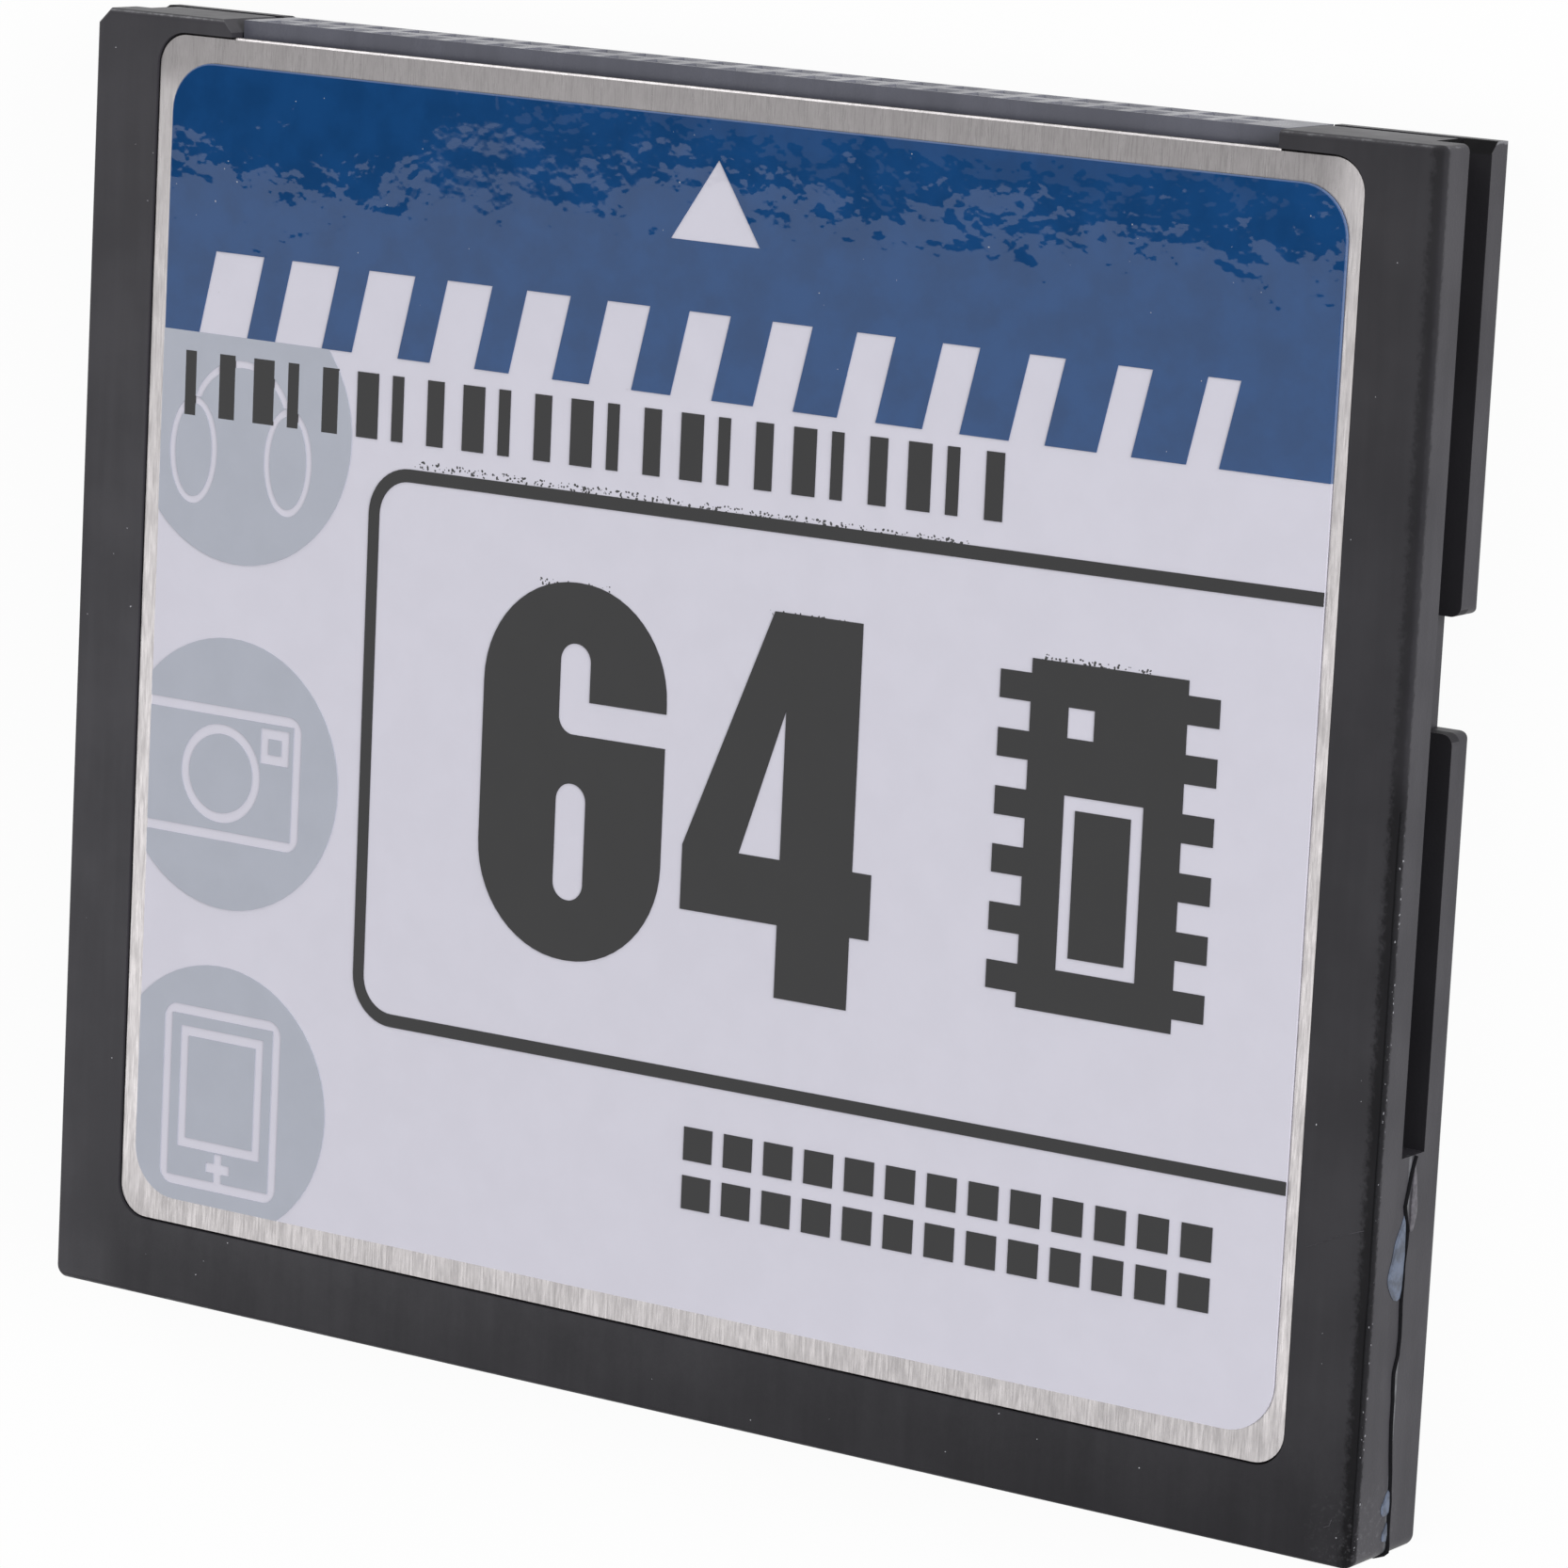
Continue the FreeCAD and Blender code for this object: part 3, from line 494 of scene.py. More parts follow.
def film_ripple_group():
    """Slow waves and fine pits of a glossy film."""
    given, result = new_group("film_ripple", {
        "Wave Size": 0.002, "Wave Depth": 0.000004, "Pit Size": 0.0003, "Pit Depth": 0.000001}, ("Normal", "Tone"))
    place = given["Vector"]
    wave = texture(place, 1 / given["Wave Size"], 4.0)
    pit = texture(place, 1 / given["Pit Size"], 2.0, 0.6)
    feed(result.inputs["Normal"], bump(wave * given["Wave Depth"] + pit * given["Pit Depth"], 1.0))
    feed(result.inputs["Tone"], noise(place, 1.2 * MM, 4.0))
    return result.id_data


def shared_group(name, build):
    return bpy.data.node_groups.get(name) or build()


def use_group(place, name, build, inputs):
    node = add_node(place.tree, "ShaderNodeGroup", node_tree=shared_group(name, build))
    for label, value in {"Vector": place, **inputs}.items():
        feed(node.inputs[label], value)
    return values_of(node)


# Materials

def cleared_tree(owner):
    owner.use_nodes = True
    owner.node_tree.nodes.clear()
    return owner.node_tree


def new_material(name, roughness, metallic=0.0, specular=0.5):
    """Material with a Principled BSDF; returns it, the shader and the object coordinates."""
    material = bpy.data.materials.new(name)
    tree = cleared_tree(material)
    shader = add_node(tree, "ShaderNodeBsdfPrincipled", {
        "Roughness": roughness, "Metallic": metallic, "Specular IOR Level": specular})
    add_node(tree, "ShaderNodeOutputMaterial", {"Surface": Value(shader.outputs["BSDF"])})
    return material, shader, node_value(tree, "ShaderNodeTexCoord", output="Object")


def dress(material, *nodes):
    """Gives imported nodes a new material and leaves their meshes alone."""
    for node in nodes:
        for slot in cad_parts[node].material_slots:
            slot.link = "OBJECT"
            slot.material = material


def moulded_plastic(name, colour, settings, cover, roughness, sunken=None):
    """Dark moulded plastic with grain, cloudy tone, patchy edge wear, painted shade in the grooves, the openings and
    along the front edge, pale scuffs and a satin gloss.
    """
    material, shader, place = new_material(name, roughness, specular=0.18)
    grain = use_group(place, "moulded_grain", moulded_grain_group, {"Grain Size": settings.grain_size})
    wear = use_group(place, "worn_edges", worn_edge_group, {"Width": settings.wear_width, "Cover": cover})
    shade_and_scuffs = use_group(place, "edge_shade_and_scuffs", edge_shade_and_scuffs_group, {
        "Groove Wall": settings.groove_wall, "Edge Width": settings.painted_edge_band_width,
        "Edge End": settings.painted_edge_band_end})
    # Painted shade of the grooves, the front edge and the light falloff across the face
    shade = shade_and_scuffs["Shade"]
    base = two_tones(grain["Tone"], 0.3, 0.75, colour, 0.9, 1.12)
    worn = mix_colours(wear["Mask"] * smooth_band(shade, 0.55, 0.85, 0.05, 0.55), base, settings.worn_colour)
    # Painted shade inside the connector's openings
    if sunken is not None:
        shade = shade * sunken(place)
    scuffed = mix_colours(shade_and_scuffs["Scuffs"] * 0.16, scaled(worn, shade), settings.worn_colour)
    gloss = smooth_band(grain["Tone"], 0.25, 0.8, roughness + 0.05, roughness - 0.04)
    dull = calc("SUBTRACT", 1.0, shade, clamp=True) * 0.55
    feed(shader.inputs["Base Color"], scuffed)
    feed(shader.inputs["Roughness"], calc("ADD", gloss, dull, clamp=True))
    feed(shader.inputs["Normal"], bump(grain["Height"], settings.grain_depth))
    return material


def socket_shade(place):
    """Shade that deepens inside the connector's openings."""
    _, y, z = axes(place)
    depth = smooth_band(y, NOSE_HIGH.y - 0.3 * MM, NOSE_HIGH.y - 0.02 * MM, 0.25, 1.0)
    return larger(depth, z > NOSE_TOP - 0.03 * MM)


def brushed_metal(name, settings):
    """Thin metal sheet brushed along the card, with painted shade by the label's edges and at its free edge."""
    material, shader, place = new_material(name, 0.34, metallic=1.0)
    x, y, _ = axes(place)
    lines = noise(place, settings.brush_spacing, 3.0, 0.7, (1, settings.brush_length / settings.brush_spacing, 1))
    bands = noise(place, 0.3 * MM, 5.0, 0.7, (1, 3, 1))
    stain = noise(place, 0.7 * MM, 5.0, 0.65)
    strokes = noise(place, 0.13 * MM, 4.0, 0.8, (1, 5, 1))
    tone = (bands - 0.5) * 0.45 + lines
    # Painted shade: the strip above the label darker, more so to the right and none past the label's right side, a
    # little below the label, and the free edge dark to dim its reflection
    shade_across = smooth_band(x, FILM_HIGH.x - MM, FILM_HIGH.x + 0.2 * MM, smooth_band(x, -8 * MM, 14 * MM, 0.5, 0.62), 0.0)
    upper = smooth_band(y, FILM_HIGH.y - MM, FILM_HIGH.y, 0.0, shade_across)
    lower = smooth_band(y, FILM_LOW.y - 0.2 * MM, FILM_LOW.y + MM, 0.3, 0.0)
    free_edge_shade = smooth_band(y, PANEL_HIGH.y - 0.02 * MM, PANEL_HIGH.y - 0.005 * MM, 0.0,
                            smooth_band(stain, 0.35, 0.65, 1.0, 0.8))
    # Share of the surface that each mark takes, and how dark it makes the panel's colour there; stains and strokes are
    # real marks, the lines in the upper strip and the free edge are painted shade
    marks = (
        (smooth_band(stain, 0.45, 0.75, 0.0, 0.16), 0.74),
        (smooth_band(strokes, 0.62, 0.72, 0.0, 0.2), 0.6),
        (smooth_band(lines, 0.48, 0.6, 0.0, upper * 0.9), 0.55),
        (free_edge_shade, 0.17),
    )
    base = two_tones(tone, 0.25, 0.75, settings.panel_colour, 0.89, 1.1)
    for share, factor in marks:
        base = mix_colours(share, base, toned(settings.panel_colour, factor))
    # Painted shade above and below the label darkens the colour
    feed(shader.inputs["Base Color"], scaled(base, (upper + lower) * -0.56 + 1))
    feed(shader.inputs["Roughness"], smooth_band(tone, 0.2, 0.8, 0.42, 0.26))
    feed(shader.inputs["Normal"], bump(tone, settings.brush_depth))
    return material


def header_rim(place, settings):
    """One on the narrow rim of the film round the header's rounded outline."""
    x, y, _ = axes(place)
    radius = settings.film_corner
    squares = []
    for value, low, high in ((x, FILM_LOW.x, FILM_HIGH.x), (y, FILM_LOW.y, FILM_HIGH.y)):
        beyond = larger(abs(value - (low + high) / 2) - ((high - low) / 2 - radius), 0.0)
        squares.append(beyond * beyond)
    reach = calc("SQRT", squares[0] + squares[1])
    return (reach > radius - settings.rim_width) * (y > HEADER_LOW.y)


def printed_film(name, colour, settings, tone_step, rim=None):
    """Glossy film or ink under one even gloss that ripples a little."""
    material, shader, place = new_material(name, settings.film_roughness, specular=0.18)
    ripple = use_group(place, "film_ripple", film_ripple_group, {
        "Wave Size": settings.ripple_size, "Wave Depth": settings.ripple_depth,
        "Pit Size": settings.fine_ripple_size, "Pit Depth": settings.fine_ripple_depth})
    base = two_tones(ripple["Tone"], 0.3, 0.7, colour, 1 - tone_step, 1 + tone_step)
    if rim is not None:
        base = mix_colours(header_rim(place, settings), base, rim)
    feed(shader.inputs["Base Color"], base)
    feed(shader.inputs["Normal"], ripple["Normal"])
    return material


def plain_finish(name, colour, roughness, grain, depth, metallic=0.0, contrast=0.12, specular=0.5):
    """Small part's finish: one colour with a fine uneven tone and bump."""
    material, shader, place = new_material(name, roughness, metallic, specular)
    speckle = noise(place, grain)
    feed(shader.inputs["Base Color"], two_tones(speckle, 0.3, 0.7, colour, 1 - contrast, 1 + contrast))
    feed(shader.inputs["Normal"], bump(speckle, depth))
    return material


def board_finish():
    """Green resist with faint conductor tracks under it."""
    material, shader, place = new_material("board_resist", 0.3)
    pitch = 0.6 * MM
    ramp = calc("FRACT", axes(place)[0] / pitch)
    track = smooth_band(abs(ramp - 0.5), 0.16, 0.2, 1.0, 0.0) * smooth_band(noise(place, 3.0 * MM, 1.0), 0.48, 0.52)
    feed(shader.inputs["Base Color"], mix_colours(track, (0.02, 0.13, 0.05), (0.05, 0.24, 0.09)))
    feed(shader.inputs["Normal"], bump(track, 0.02 * MM))
    return material


def adhesive_finish(name, colour):
    """Half clear dried adhesive, paler where it is thick."""
    material, shader, place = new_material(name, 0.3)
    cloud = noise(place, 0.3 * MM, 4.0)
    feed(shader.inputs["Base Color"], two_tones(cloud, 0.35, 0.65, colour, 0.62, 1.35))
    feed(shader.inputs["Normal"], bump(cloud, 0.02 * MM))
    return material


# Geometry node trees

def new_geometry_tree(name, inputs):
    """Geometry tree with named inputs and a material; returns it, its given values and its output node."""
    tree = bpy.data.node_groups.new(name, "GeometryNodeTree")
    for label, kind in {"Geometry": "Geometry", **inputs, "Material": "Material"}.items():
        tree.interface.new_socket(name=label, in_out="INPUT", socket_type="NodeSocket" + kind)
    tree.interface.new_socket(name="Geometry", in_out="OUTPUT", socket_type="NodeSocketGeometry")
    return tree, values_of(tree.nodes.new("NodeGroupInput")), tree.nodes.new("NodeGroupOutput")


def finish_tree(geometry, given, result):
    """Realizes what the tree made and gives it its material."""
    real = node_value(geometry.tree, "GeometryNodeRealizeInstances", {"Geometry": geometry})
    feed(result.inputs["Geometry"], node_value(geometry.tree, "GeometryNodeSetMaterial", {
        "Geometry": real, "Material": given["Material"]}))
    return geometry.tree


def random_value(tree, low, high, seed):
    return node_value(tree, "FunctionNodeRandomValue", {2: low, 3: high, "Seed": seed}, 1)


def scatter_tree():
    """Small flattened grains scattered over a surface, turned and sized at random."""
    tree, given, result = new_geometry_tree("scattered_grains", {
        "Density": "Float", "Smallest": "Float", "Largest": "Float", "Flatness": "Float", "Seed": "Int"})
    points = values_of(add_node(tree, "GeometryNodeDistributePointsOnFaces", {
        "Mesh": given["Geometry"], "Density": given["Density"], "Seed": given["Seed"]}))
    grain = node_value(tree, "GeometryNodeMeshIcoSphere", {"Radius": 0.5, "Subdivisions": 1}, "Mesh")
    shape = node_value(tree, "ShaderNodeCombineXYZ", {
        "X": random_value(tree, 0.6, 1.7, 11), "Y": 1.0, "Z": given["Flatness"]})
    size = scaled(shape, random_value(tree, given["Smallest"], given["Largest"], given["Seed"]))
    spin = node_value(tree, "ShaderNodeCombineXYZ", {"Z": random_value(tree, 0.0, math.tau, 23)})
    turned = node_value(tree, "FunctionNodeRotateRotation", {0: points["Rotation"], 1: spin}, rotation_space="LOCAL")
    placed = node_value(tree, "GeometryNodeInstanceOnPoints", {
        "Points": points["Points"], "Instance": grain, "Rotation": turned, "Scale": size})
    return finish_tree(placed, given, result)


def ridge_tree():
    """Thin uneven ridge that wanders along a path."""
    tree, given, result = new_geometry_tree("wandering_ridge", {"Radius": "Float", "Wander": "Float", "Step": "Float"})
    path = node_value(tree, "GeometryNodeMeshToCurve", {"Mesh": given["Geometry"]})
    even = node_value(tree, "GeometryNodeResampleCurve", {"Curve": path, "Length": given["Step"]}, mode="LENGTH")
    place = node_value(tree, "GeometryNodeInputPosition")
    rise = (texture(place, 1 / (1.7 * MM), 2.0) - 0.5) * (given["Wander"] * 4.0)
    moved = node_value(tree, "GeometryNodeSetPosition", {
        "Geometry": even, "Offset": node_value(tree, "ShaderNodeCombineXYZ", {"Z": rise})})
    width = texture(place, 1 / (0.45 * MM), 3.0) * 2.2 - 0.35
    varied = node_value(tree, "GeometryNodeSetCurveRadius", {"Curve": moved, "Radius": larger(width, 0.15)})
    ring = node_value(tree, "GeometryNodeCurvePrimitiveCircle", {"Resolution": 6, "Radius": given["Radius"]})
    ridge = node_value(tree, "GeometryNodeCurveToMesh", {"Curve": varied, "Profile Curve": ring, "Fill Caps": True})
    return finish_tree(ridge, given, result)


# Objects

def new_object(name, data):
    made = bpy.data.objects.new(name, data)
    bpy.context.scene.collection.objects.link(made)
    return made


def settle(piece):
    """Hangs a finished piece on the card's one body."""
    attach(piece, "root")


def grow(name, mesh, tree, values):
    """Runs a geometry tree on a mesh, keeps the result as a plain mesh and settles its object."""
    piece = new_object(name, mesh)
    modifier = piece.modifiers.new(name, "NODES")
    modifier.node_group = tree
    for socket in tree.interface.items_tree:
        if socket.item_type == "SOCKET" and socket.in_out == "INPUT" and socket.name in values:
            modifier[socket.identifier] = values[socket.name]
    bpy.context.view_layer.update()
    made = bpy.data.meshes.new_from_object(piece.evaluated_get(bpy.context.evaluated_depsgraph_get()))
    piece.modifiers.clear()
    piece.data = made
    made.name = name
    if not made.polygons:
        raise RuntimeError(name + " came out empty")
    settle(piece)


def scatter(name, patches, material, density, largest, smallest_share, flatness, seed):
    """Grains scattered over flat patches."""
    grow(name, patch_mesh(name + "_places", patches), shared_group("scattered_grains", scatter_tree), {
        "Density": density, "Smallest": largest * smallest_share, "Largest": largest, "Flatness": flatness,
        "Seed": seed, "Material": material})


def draw_ridge(name, points, material, radius, wander, step):
    """Uneven ridge along a path of points."""
    path = bpy.data.meshes.new(name + "_path")
    path.from_pydata(points, [(i, i + 1) for i in range(len(points) - 1)], [])
    grow(name, path, shared_group("wandering_ridge", ridge_tree), {
        "Radius": radius, "Wander": wander, "Step": step, "Material": material})


def patch_mesh(name, patches):
    """Mesh of separate flat patches, each given by its corners."""
    mesh = bpy.data.meshes.new(name)
    made = bmesh.new()
    for corners in patches:
        made.faces.new([made.verts.new(c) for c in corners])
    made.to_mesh(mesh)
    made.free()
    return mesh


def level_patch(x0, x1, y0, y1, z):
    return [(x0, y0, z), (x1, y0, z), (x1, y1, z), (x0, y1, z)]


def make_smears(name, places, material):
    """Low domes on the side wall, as one piece."""
    mesh = bpy.data.meshes.new(name)
    made = bmesh.new()
    for index, place in enumerate(places):
        add_smear(made, index, *(value * MM for value in place))
    bmesh.ops.recalc_face_normals(made, faces=made.faces)
    made.to_mesh(mesh)
    made.free()
    mesh.materials.append(material)
    settle(new_object(name, mesh))


def add_smear(made, index, y, z, along, tall):
    """Closed low dome on the side wall, a drop that is pointed above and flat against the seam."""
    turns = 36
    # Each ring's share of the outline and its rise in millimetres
    rings = ((1.0, -0.01), (1.0, 0.012), (0.8, 0.03), (0.4, 0.04))
    rows = []
    for share, rise in rings:
        row = []
        for i in range(turns):
            angle = math.tau * i / turns
            uneven = 1 + 0.05 * math.sin(3 * angle + index) + 0.04 * math.sin(7 * angle + 2 * index)
            swell = 0.18 + 0.82 * ((1 - math.cos(angle)) / 2) ** 0.8
            side = 1.0 if math.sin(angle) > 0 else 0.12
            row.append(made.verts.new((CARD_HIGH.x + rise * MM, y + along * share * uneven * math.cos(angle),
                                       z + tall * share * uneven * swell * side * math.sin(angle))))
        rows.append(row)
    for low, high in zip(rows, rows[1:]):
        for i in range(turns):
            j = (i + 1) % turns
            made.faces.new((low[i], low[j], high[j], high[i]))
    made.faces.new(rows[0])
    made.faces.new(rows[-1])


# Stage

def sight_axes(settings):
    """Right, up and backward axes of the camera."""
    az, el, roll = settings.camera_azimuth, settings.camera_elevation, settings.camera_roll
    back = Vector((math.cos(el) * math.cos(az), math.cos(el) * math.sin(az), math.sin(el)))
    level = Vector((0, 1, 0)).cross(back).normalized()
    right = math.cos(roll) * level + math.sin(roll) * back.cross(level)
    return right, back.cross(right), back


def make_camera(settings):
    right, up, back = sight_axes(settings)
    data = bpy.data.cameras.new("camera")
    data.sensor_width = 36
    data.lens = settings.camera_lens
    data.clip_start = 0.01
    camera = new_object("camera", data)
    place = Vector(settings.camera_aim) + back * settings.camera_range
    camera.matrix_world = Matrix.Translation(place) @ Matrix((right, up, back)).transposed().to_4x4()
    bpy.context.scene.camera = camera


def seen_directly(tree):
    """One where a ray comes from the camera, a gloss or a clear surface."""
    path = values_of(add_node(tree, "ShaderNodeLightPath"))
    return larger(larger(path["Is Camera Ray"], path["Is Glossy Ray"]), path["Is Transmission Ray"])


def make_floor(settings):
    """Plain pale floor that shows as near white and keeps the card's shadow."""
    half = settings.floor_size / 2
    mesh = patch_mesh("floor", [level_patch(-half, half, -half, half, CARD_LOW.z)])
    floor = new_object("floor", mesh)
    material = bpy.data.materials.new("floor_paper")
    tree = cleared_tree(material)
    matt = node_value(tree, "ShaderNodeBsdfDiffuse", {"Color": settings.floor_colour})
    white = node_value(tree, "ShaderNodeEmission", {"Color": (1, 1, 1), "Strength": 1.0})
    share = seen_directly(tree) * settings.floor_white
    mixed = node_value(tree, "ShaderNodeMixShader", {0: share, 1: matt, 2: white})
    add_node(tree, "ShaderNodeOutputMaterial", {"Surface": mixed})
    mesh.materials.append(material)


def make_world(settings):
    world = bpy.data.worlds.new("studio")
    bpy.context.scene.world = world
    tree = cleared_tree(world)
    soft = node_value(tree, "ShaderNodeBackground", {"Color": (1, 1, 1), "Strength": settings.world_light})
    white = node_value(tree, "ShaderNodeBackground", {"Color": (1, 1, 1), "Strength": 1.0})
    mixed = node_value(tree, "ShaderNodeMixShader", {0: seen_directly(tree), 1: soft, 2: white})
    add_node(tree, "ShaderNodeOutputWorld", {"Surface": mixed})


def make_lamp(name, place, target, size, power):
    data = bpy.data.lights.new(name, "AREA")
    data.shape = "SQUARE"
    data.size = size
    data.energy = power
    lamp = new_object(name, data)
    lamp.location = place
    lamp.rotation_euler = (Vector(target) - Vector(place)).to_track_quat("-Z", "Y").to_euler()
    return lamp


def make_softbox(settings):
    """Softbox whose upper edge the label mirrors at the set height, with a dark card over a part of it."""
    back = sight_axes(settings)[2]
    eye = Vector(settings.camera_aim) + back * settings.camera_range

    def mirrored(point):
        ray = point - eye
        return Vector((ray.x, ray.y, -ray.z)).normalized()

    middle = Vector((0, 0, FILM_TOP))
    forward = mirrored(middle)
    face = middle + forward * settings.softbox_range
    tall = (Vector((0, 1, 0)) - forward * forward.y).normalized()
    wide = tall.cross(forward)

    def on_face(x, y):
        """Point of the softbox's plane that the label mirrors at the given place."""
        start = Vector((x, y, FILM_TOP))
        ray = mirrored(start)
        return start + ray * ((face - start).dot(forward) / ray.dot(forward))

    width, height = settings.softbox_size
    edge = (on_face(0, settings.softbox_edge) - face).dot(tall)
    lamp = make_lamp("softbox", face + tall * (edge - height / 2), face, width, settings.softbox_power)
    lamp.data.shape = "RECTANGLE"
    lamp.data.size_y = height
    lamp.rotation_euler = Matrix((wide, tall, forward)).transposed().to_euler()
    corners = [on_face(x * MM, settings.softbox_edge + y * MM) - forward * MM for x, y in DARK_CARD_OUTLINE]
    mesh = patch_mesh("dark_card", [corners])
    card = new_object("dark_card", mesh)
    mesh.materials.append(plain_finish("dark_card_felt", (0.004, 0.004, 0.004), 1.0, 10 * MM, 0.1 * MM, specular=0.0))


def make_side_lamps(settings):
    """Lamps beside and behind the card; the one beside it leaves no mirror image in the label."""
    side = make_lamp("side_lamp", settings.side_lamp_place, (CARD_HIGH.x, 0, CARD_HIGH.z / 2),
                     settings.side_lamp_size, settings.side_lamp_power)
    side.visible_glossy = False
    make_lamp("end_lamp", settings.end_lamp_place, (0, CARD_HIGH.y, CARD_HIGH.z / 2),
              settings.end_lamp_size, settings.end_lamp_power)


class CARD_OT_make_stage(bpy.types.Operator):
    """Make the floor, the lamps, the world and the camera"""

    bl_idname = "card.make_stage"
    bl_label = "Stage"

    def execute(self, context):
        settings = context.scene.card_stage
        make_camera(settings)
        make_floor(settings)
        make_world(settings)
        make_softbox(settings)
        make_side_lamps(settings)
        context.scene.view_settings.view_transform = "Standard"
        return {"FINISHED"}


class CARD_OT_finish_shells(bpy.types.Operator):
    """Give both moulded shells their grained plastic"""

    bl_idname = "card.finish_shells"
    bl_label = "Shells"

    def execute(self, context):
        settings = context.scene.card_plastic
        for node, cover in (("front_shell", 0.36), ("rear_shell", 0.42)):
            dress(moulded_plastic(node + "_plastic", settings.shell_colour, settings, cover, settings.roughness), node)
        return {"FINISHED"}


class CARD_OT_finish_connector(bpy.types.Operator):
    """Give the connector block and its contacts their finish"""

    bl_idname = "card.finish_connector"
    bl_label = "Connector"

    def execute(self, context):
        settings = context.scene.card_plastic
        dress(moulded_plastic("connector_plastic", settings.nose_colour, settings, 0.3, settings.nose_roughness,
                              socket_shade), "connector_housing")
        dress(plain_finish("contact_plating", context.scene.card_metal.plating_colour, 0.25, 0.2 * MM, 0.002 * MM,
                           metallic=1.0), "upper_contacts", "lower_contacts")
        return {"FINISHED"}


class CARD_OT_finish_panels(bpy.types.Operator):
    """Brush the two metal cover panels"""

    bl_idname = "card.finish_panels"
    bl_label = "Cover panels"

    def execute(self, context):
        dress(brushed_metal("brushed_panel", context.scene.card_metal), "front_panel", "rear_panel")
        return {"FINISHED"}


class CARD_OT_finish_label(bpy.types.Operator):
    """Give the film and its printed layers their gloss and colours"""

    bl_idname = "card.finish_label"
    bl_label = "Label"

    def execute(self, context):
        settings = context.scene.card_label
        dress(printed_film("label_film_white", settings.film_colour, settings, 0.012, settings.header_rim_colour),
              "label_film")
        dress(printed_film("label_header_blue", settings.header_colour, settings, 0.1), "label_header")
        dress(printed_film("label_ink", settings.ink_colour, settings, 0.05), "label_print")
        dress(printed_film("label_disc_grey", settings.disc_colour, settings, 0.02), "label_discs")
        return {"FINISHED"}


class CARD_OT_add_ink_flecks(bpy.types.Operator):
    """Scatter small ink flecks along the upper edges of the print"""

    bl_idname = "card.add_ink_flecks"
    bl_label = "Ink flecks"

    def execute(self, context):
        settings = context.scene.card_label
        patches = [level_patch(x0 * MM, x1 * MM, y * MM, (y + reach) * MM, FILM_TOP)
                   for x0, x1, y, reach in FLECKED_EDGES]
        ink = plain_finish("fleck_ink", settings.ink_colour, 0.4, 0.1 * MM, 0.001 * MM)
        scatter("ink_flecks", patches, ink, settings.fleck_density, settings.fleck_size,
                smallest_share=0.3, flatness=0.12, seed=4)
        return {"FINISHED"}


class CARD_OT_add_seam_flash(bpy.types.Operator):
    """Lay the uneven dark line along the seam behind the grooves"""

    bl_idname = "card.add_seam_flash"
    bl_label = "Seam flash"

    def execute(self, context):
        settings = context.scene.card_seam
        sink = settings.flash_radius * 0.3
        x, y = CARD_HIGH.x - sink, CARD_LOW.y + sink
        corner = 0.3 * MM
        path = [(x, place * MM, height * MM) for place, height in SEAM_LINE]
        path += [(x - corner, y, SEAM_HEIGHT), (corner - x, y, SEAM_HEIGHT), (-x, y + corner, SEAM_HEIGHT),
                 (-x, SEAM_HIGH.y, SEAM_HEIGHT)]
        grime = plain_finish("seam_line_grime", settings.flash_colour, 0.9, 0.1 * MM, 0.004 * MM, specular=0.05)
        draw_ridge("seam_flash", path, grime, settings.flash_radius, settings.flash_wander,
                   step=0.12 * MM)
        dress(adhesive_finish("seam_adhesive", display(62, 63, 67)), "seam_bead")
        return {"FINISHED"}


class CARD_OT_add_smears(bpy.types.Operator):
    """Add the thin smears of dried adhesive beside the seam, and the burr at the groove's end"""

    bl_idname = "card.add_smears"
    bl_label = "Adhesive smears"

    def execute(self, context):
        settings = context.scene.card_seam
        make_smears("adhesive_smears", SMEARS,
                    adhesive_finish("smear_adhesive", settings.adhesive_colour))
        make_smears("groove_burr", (BURR,), plain_finish(
            "burr_plastic", settings.burr_colour, 0.5, 0.12 * MM, 0.01 * MM, contrast=0.3, specular=0.2))
        return {"FINISHED"}


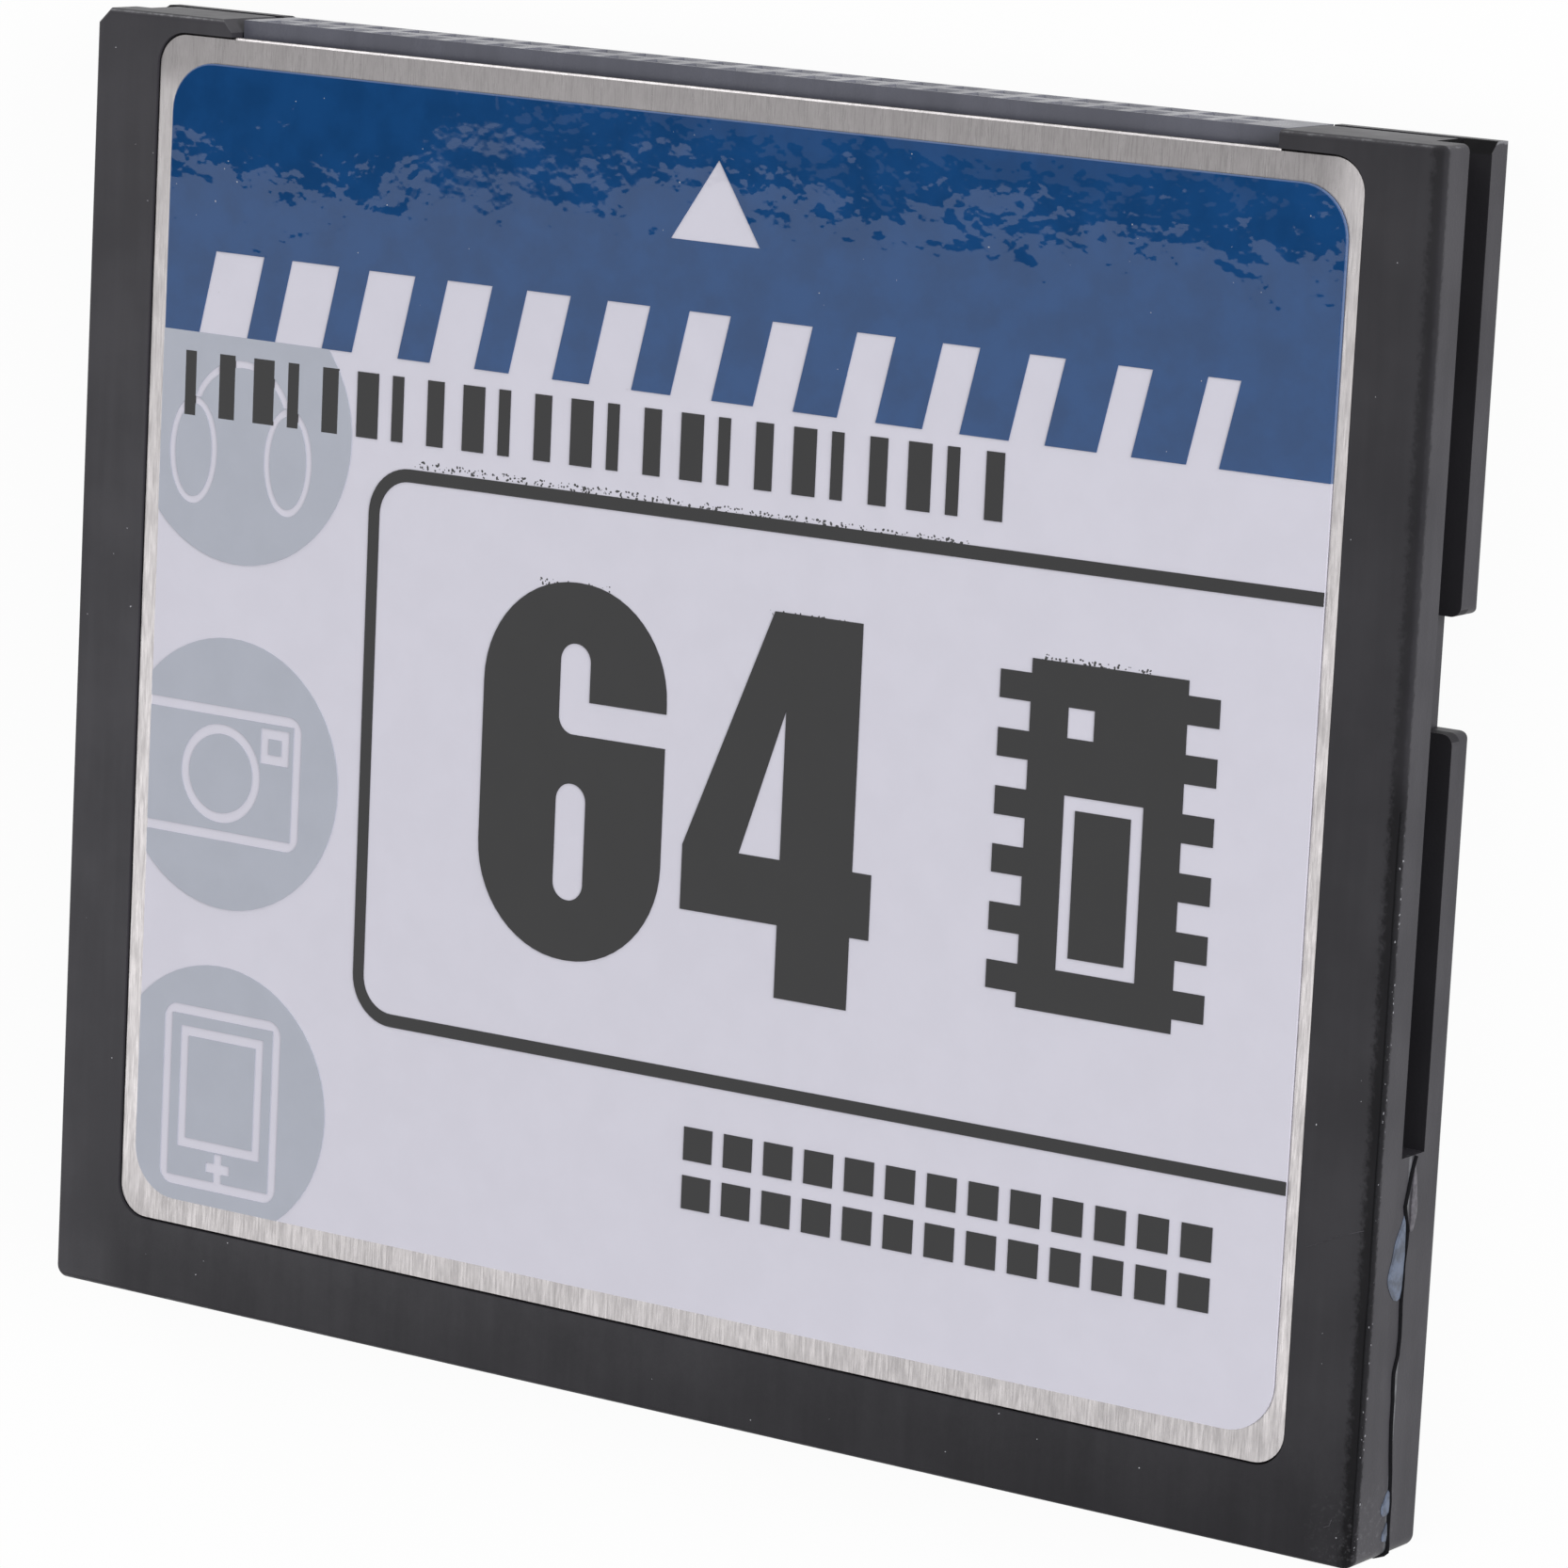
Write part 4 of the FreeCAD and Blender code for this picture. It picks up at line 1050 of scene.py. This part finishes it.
class CARD_OT_add_wear(bpy.types.Operator):
    """Add a dark line of painted shade on the front edge, rough nicks along the worn edge, faint scratches and dust
    specks
    """

    bl_idname = "card.add_wear"
    bl_label = "Nicks and dust"

    def execute(self, context):
        settings = context.scene.card_wear
        rubbed_and_painted_light = plain_finish("rubbed_plastic", context.scene.card_plastic.worn_colour, 0.6, 0.1 * MM, 0.004 * MM,
                              specular=0.1)
        low, high, top = CARD_LOW.y + 0.5 * MM, settings.painted_edge_line_end, CARD_HIGH.z
        brink = 0.045 * MM
        line = [(CARD_HIGH.x - brink, y, top - brink) for y in (low, high)]
        # Painted shade: a dark ragged ridge on the arris stands in for the dark reflection of the rounded front edge;
        # its ragged shape is the edge's roughness
        dark = plain_finish("painted_edge_line_plastic", display(30, 30, 32), 0.9, 0.1 * MM, 0.004 * MM, specular=0.05)
        draw_ridge("rough_edge", line, dark, settings.painted_edge_line_radius,
                   wander=0.01 * MM, step=0.06 * MM)
        near, far = CARD_HIGH.x - 0.02 * MM, CARD_HIGH.x - 0.005 * MM
        upper, lower = top - 0.09 * MM, top - 0.24 * MM
        edge = [[(near, low, upper), (far, low, lower), (far, high, lower), (near, high, upper)]]
        scatter("edge_nicks", edge, rubbed_and_painted_light, settings.nick_density, settings.nick_size,
                smallest_share=0.25, flatness=0.4, seed=9)
        faint = plain_finish("scratched_plastic", settings.scratch_colour, 0.6, 0.2 * MM, 0.001 * MM,
                             contrast=0.3, specular=0.1)
        for index, places in enumerate(SCRATCHES):
            draw_ridge("scratch_%d" % (index + 1), [(x * MM, y * MM, top) for x, y in places],
                       faint, settings.scratch_radius, wander=0.0, step=0.08 * MM)
        lint = plain_finish("dust_lint", settings.dust_colour, 0.8, 0.05 * MM, 0.001 * MM)
        rim = FILM_LOW.x - 0.6 * MM
        left, right = CARD_LOW.x + 0.3 * MM, CARD_HIGH.x - 0.3 * MM
        faces = [
            level_patch(HEADER_LOW.x, HEADER_HIGH.x, HEADER_LOW.y, HEADER_HIGH.y, HEADER_HIGH.z),
            level_patch(left, rim, CARD_LOW.y, CARD_HIGH.y - MM, top),
            level_patch(-rim + 0.2 * MM, right, CARD_LOW.y, CARD_HIGH.y - MM, top),
            level_patch(left, right, CARD_LOW.y + 0.3 * MM, FILM_LOW.y - 0.9 * MM, top),
        ]
        scatter("dust_specks", faces, lint, settings.dust_density, settings.dust_size,
                smallest_share=0.3, flatness=0.3, seed=15)
        return {"FINISHED"}


class CARD_OT_finish_inside(bpy.types.Operator):
    """Give the board and the parts on it their finish"""

    bl_idname = "card.finish_inside"
    bl_label = "Inside"

    def execute(self, context):
        dress(board_finish(), "circuit_board")
        dress(plain_finish("package_resin", (0.022, 0.022, 0.024), 0.55, 0.08 * MM, 0.004 * MM),
              "controller", "flash_chip", "voltage_regulator")
        dress(plain_finish("tinned_lead", context.scene.card_metal.tin_colour, 0.3, 0.1 * MM, 0.002 * MM, metallic=1.0),
              "controller_leads", "flash_chip_leads")
        dress(plain_finish("capacitor_ceramic", (0.42, 0.3, 0.19), 0.45, 0.1 * MM, 0.003 * MM), "capacitors")
        dress(plain_finish("resistor_ceramic", (0.06, 0.06, 0.065), 0.4, 0.1 * MM, 0.003 * MM), "resistors")
        return {"FINISHED"}


STEPS = (
    CARD_OT_make_stage, CARD_OT_finish_shells, CARD_OT_finish_connector, CARD_OT_finish_panels,
    CARD_OT_finish_label, CARD_OT_add_ink_flecks, CARD_OT_add_seam_flash, CARD_OT_add_smears,
    CARD_OT_add_wear, CARD_OT_finish_inside,
)


class CARD_PT_builder(bpy.types.Panel):
    """Lists the pieces of the card in the order they are made"""

    bl_label = "Flash Card"
    bl_idname = "CARD_PT_builder"
    bl_space_type = "VIEW_3D"
    bl_region_type = "UI"
    bl_category = "Flash Card"

    def draw(self, context):
        for step in STEPS:
            self.layout.operator(step.bl_idname)


def register():
    for name, group in SETTINGS.items():
        bpy.utils.register_class(group)
        setattr(bpy.types.Scene, name, PointerProperty(type=group))
    for step in STEPS:
        bpy.utils.register_class(step)
    bpy.utils.register_class(CARD_PT_builder)


def unregister():
    bpy.utils.unregister_class(CARD_PT_builder)
    for step in reversed(STEPS):
        bpy.utils.unregister_class(step)
    for name, group in SETTINGS.items():
        delattr(bpy.types.Scene, name)
        bpy.utils.unregister_class(group)


def main():
    register()
    bpy.ops.card.make_stage()
    bpy.ops.card.finish_shells()
    bpy.ops.card.finish_connector()
    bpy.ops.card.finish_panels()
    bpy.ops.card.finish_label()
    bpy.ops.card.add_ink_flecks()
    bpy.ops.card.add_seam_flash()
    bpy.ops.card.add_smears()
    bpy.ops.card.add_wear()
    bpy.ops.card.finish_inside()


if __name__ == "__main__":
    main()
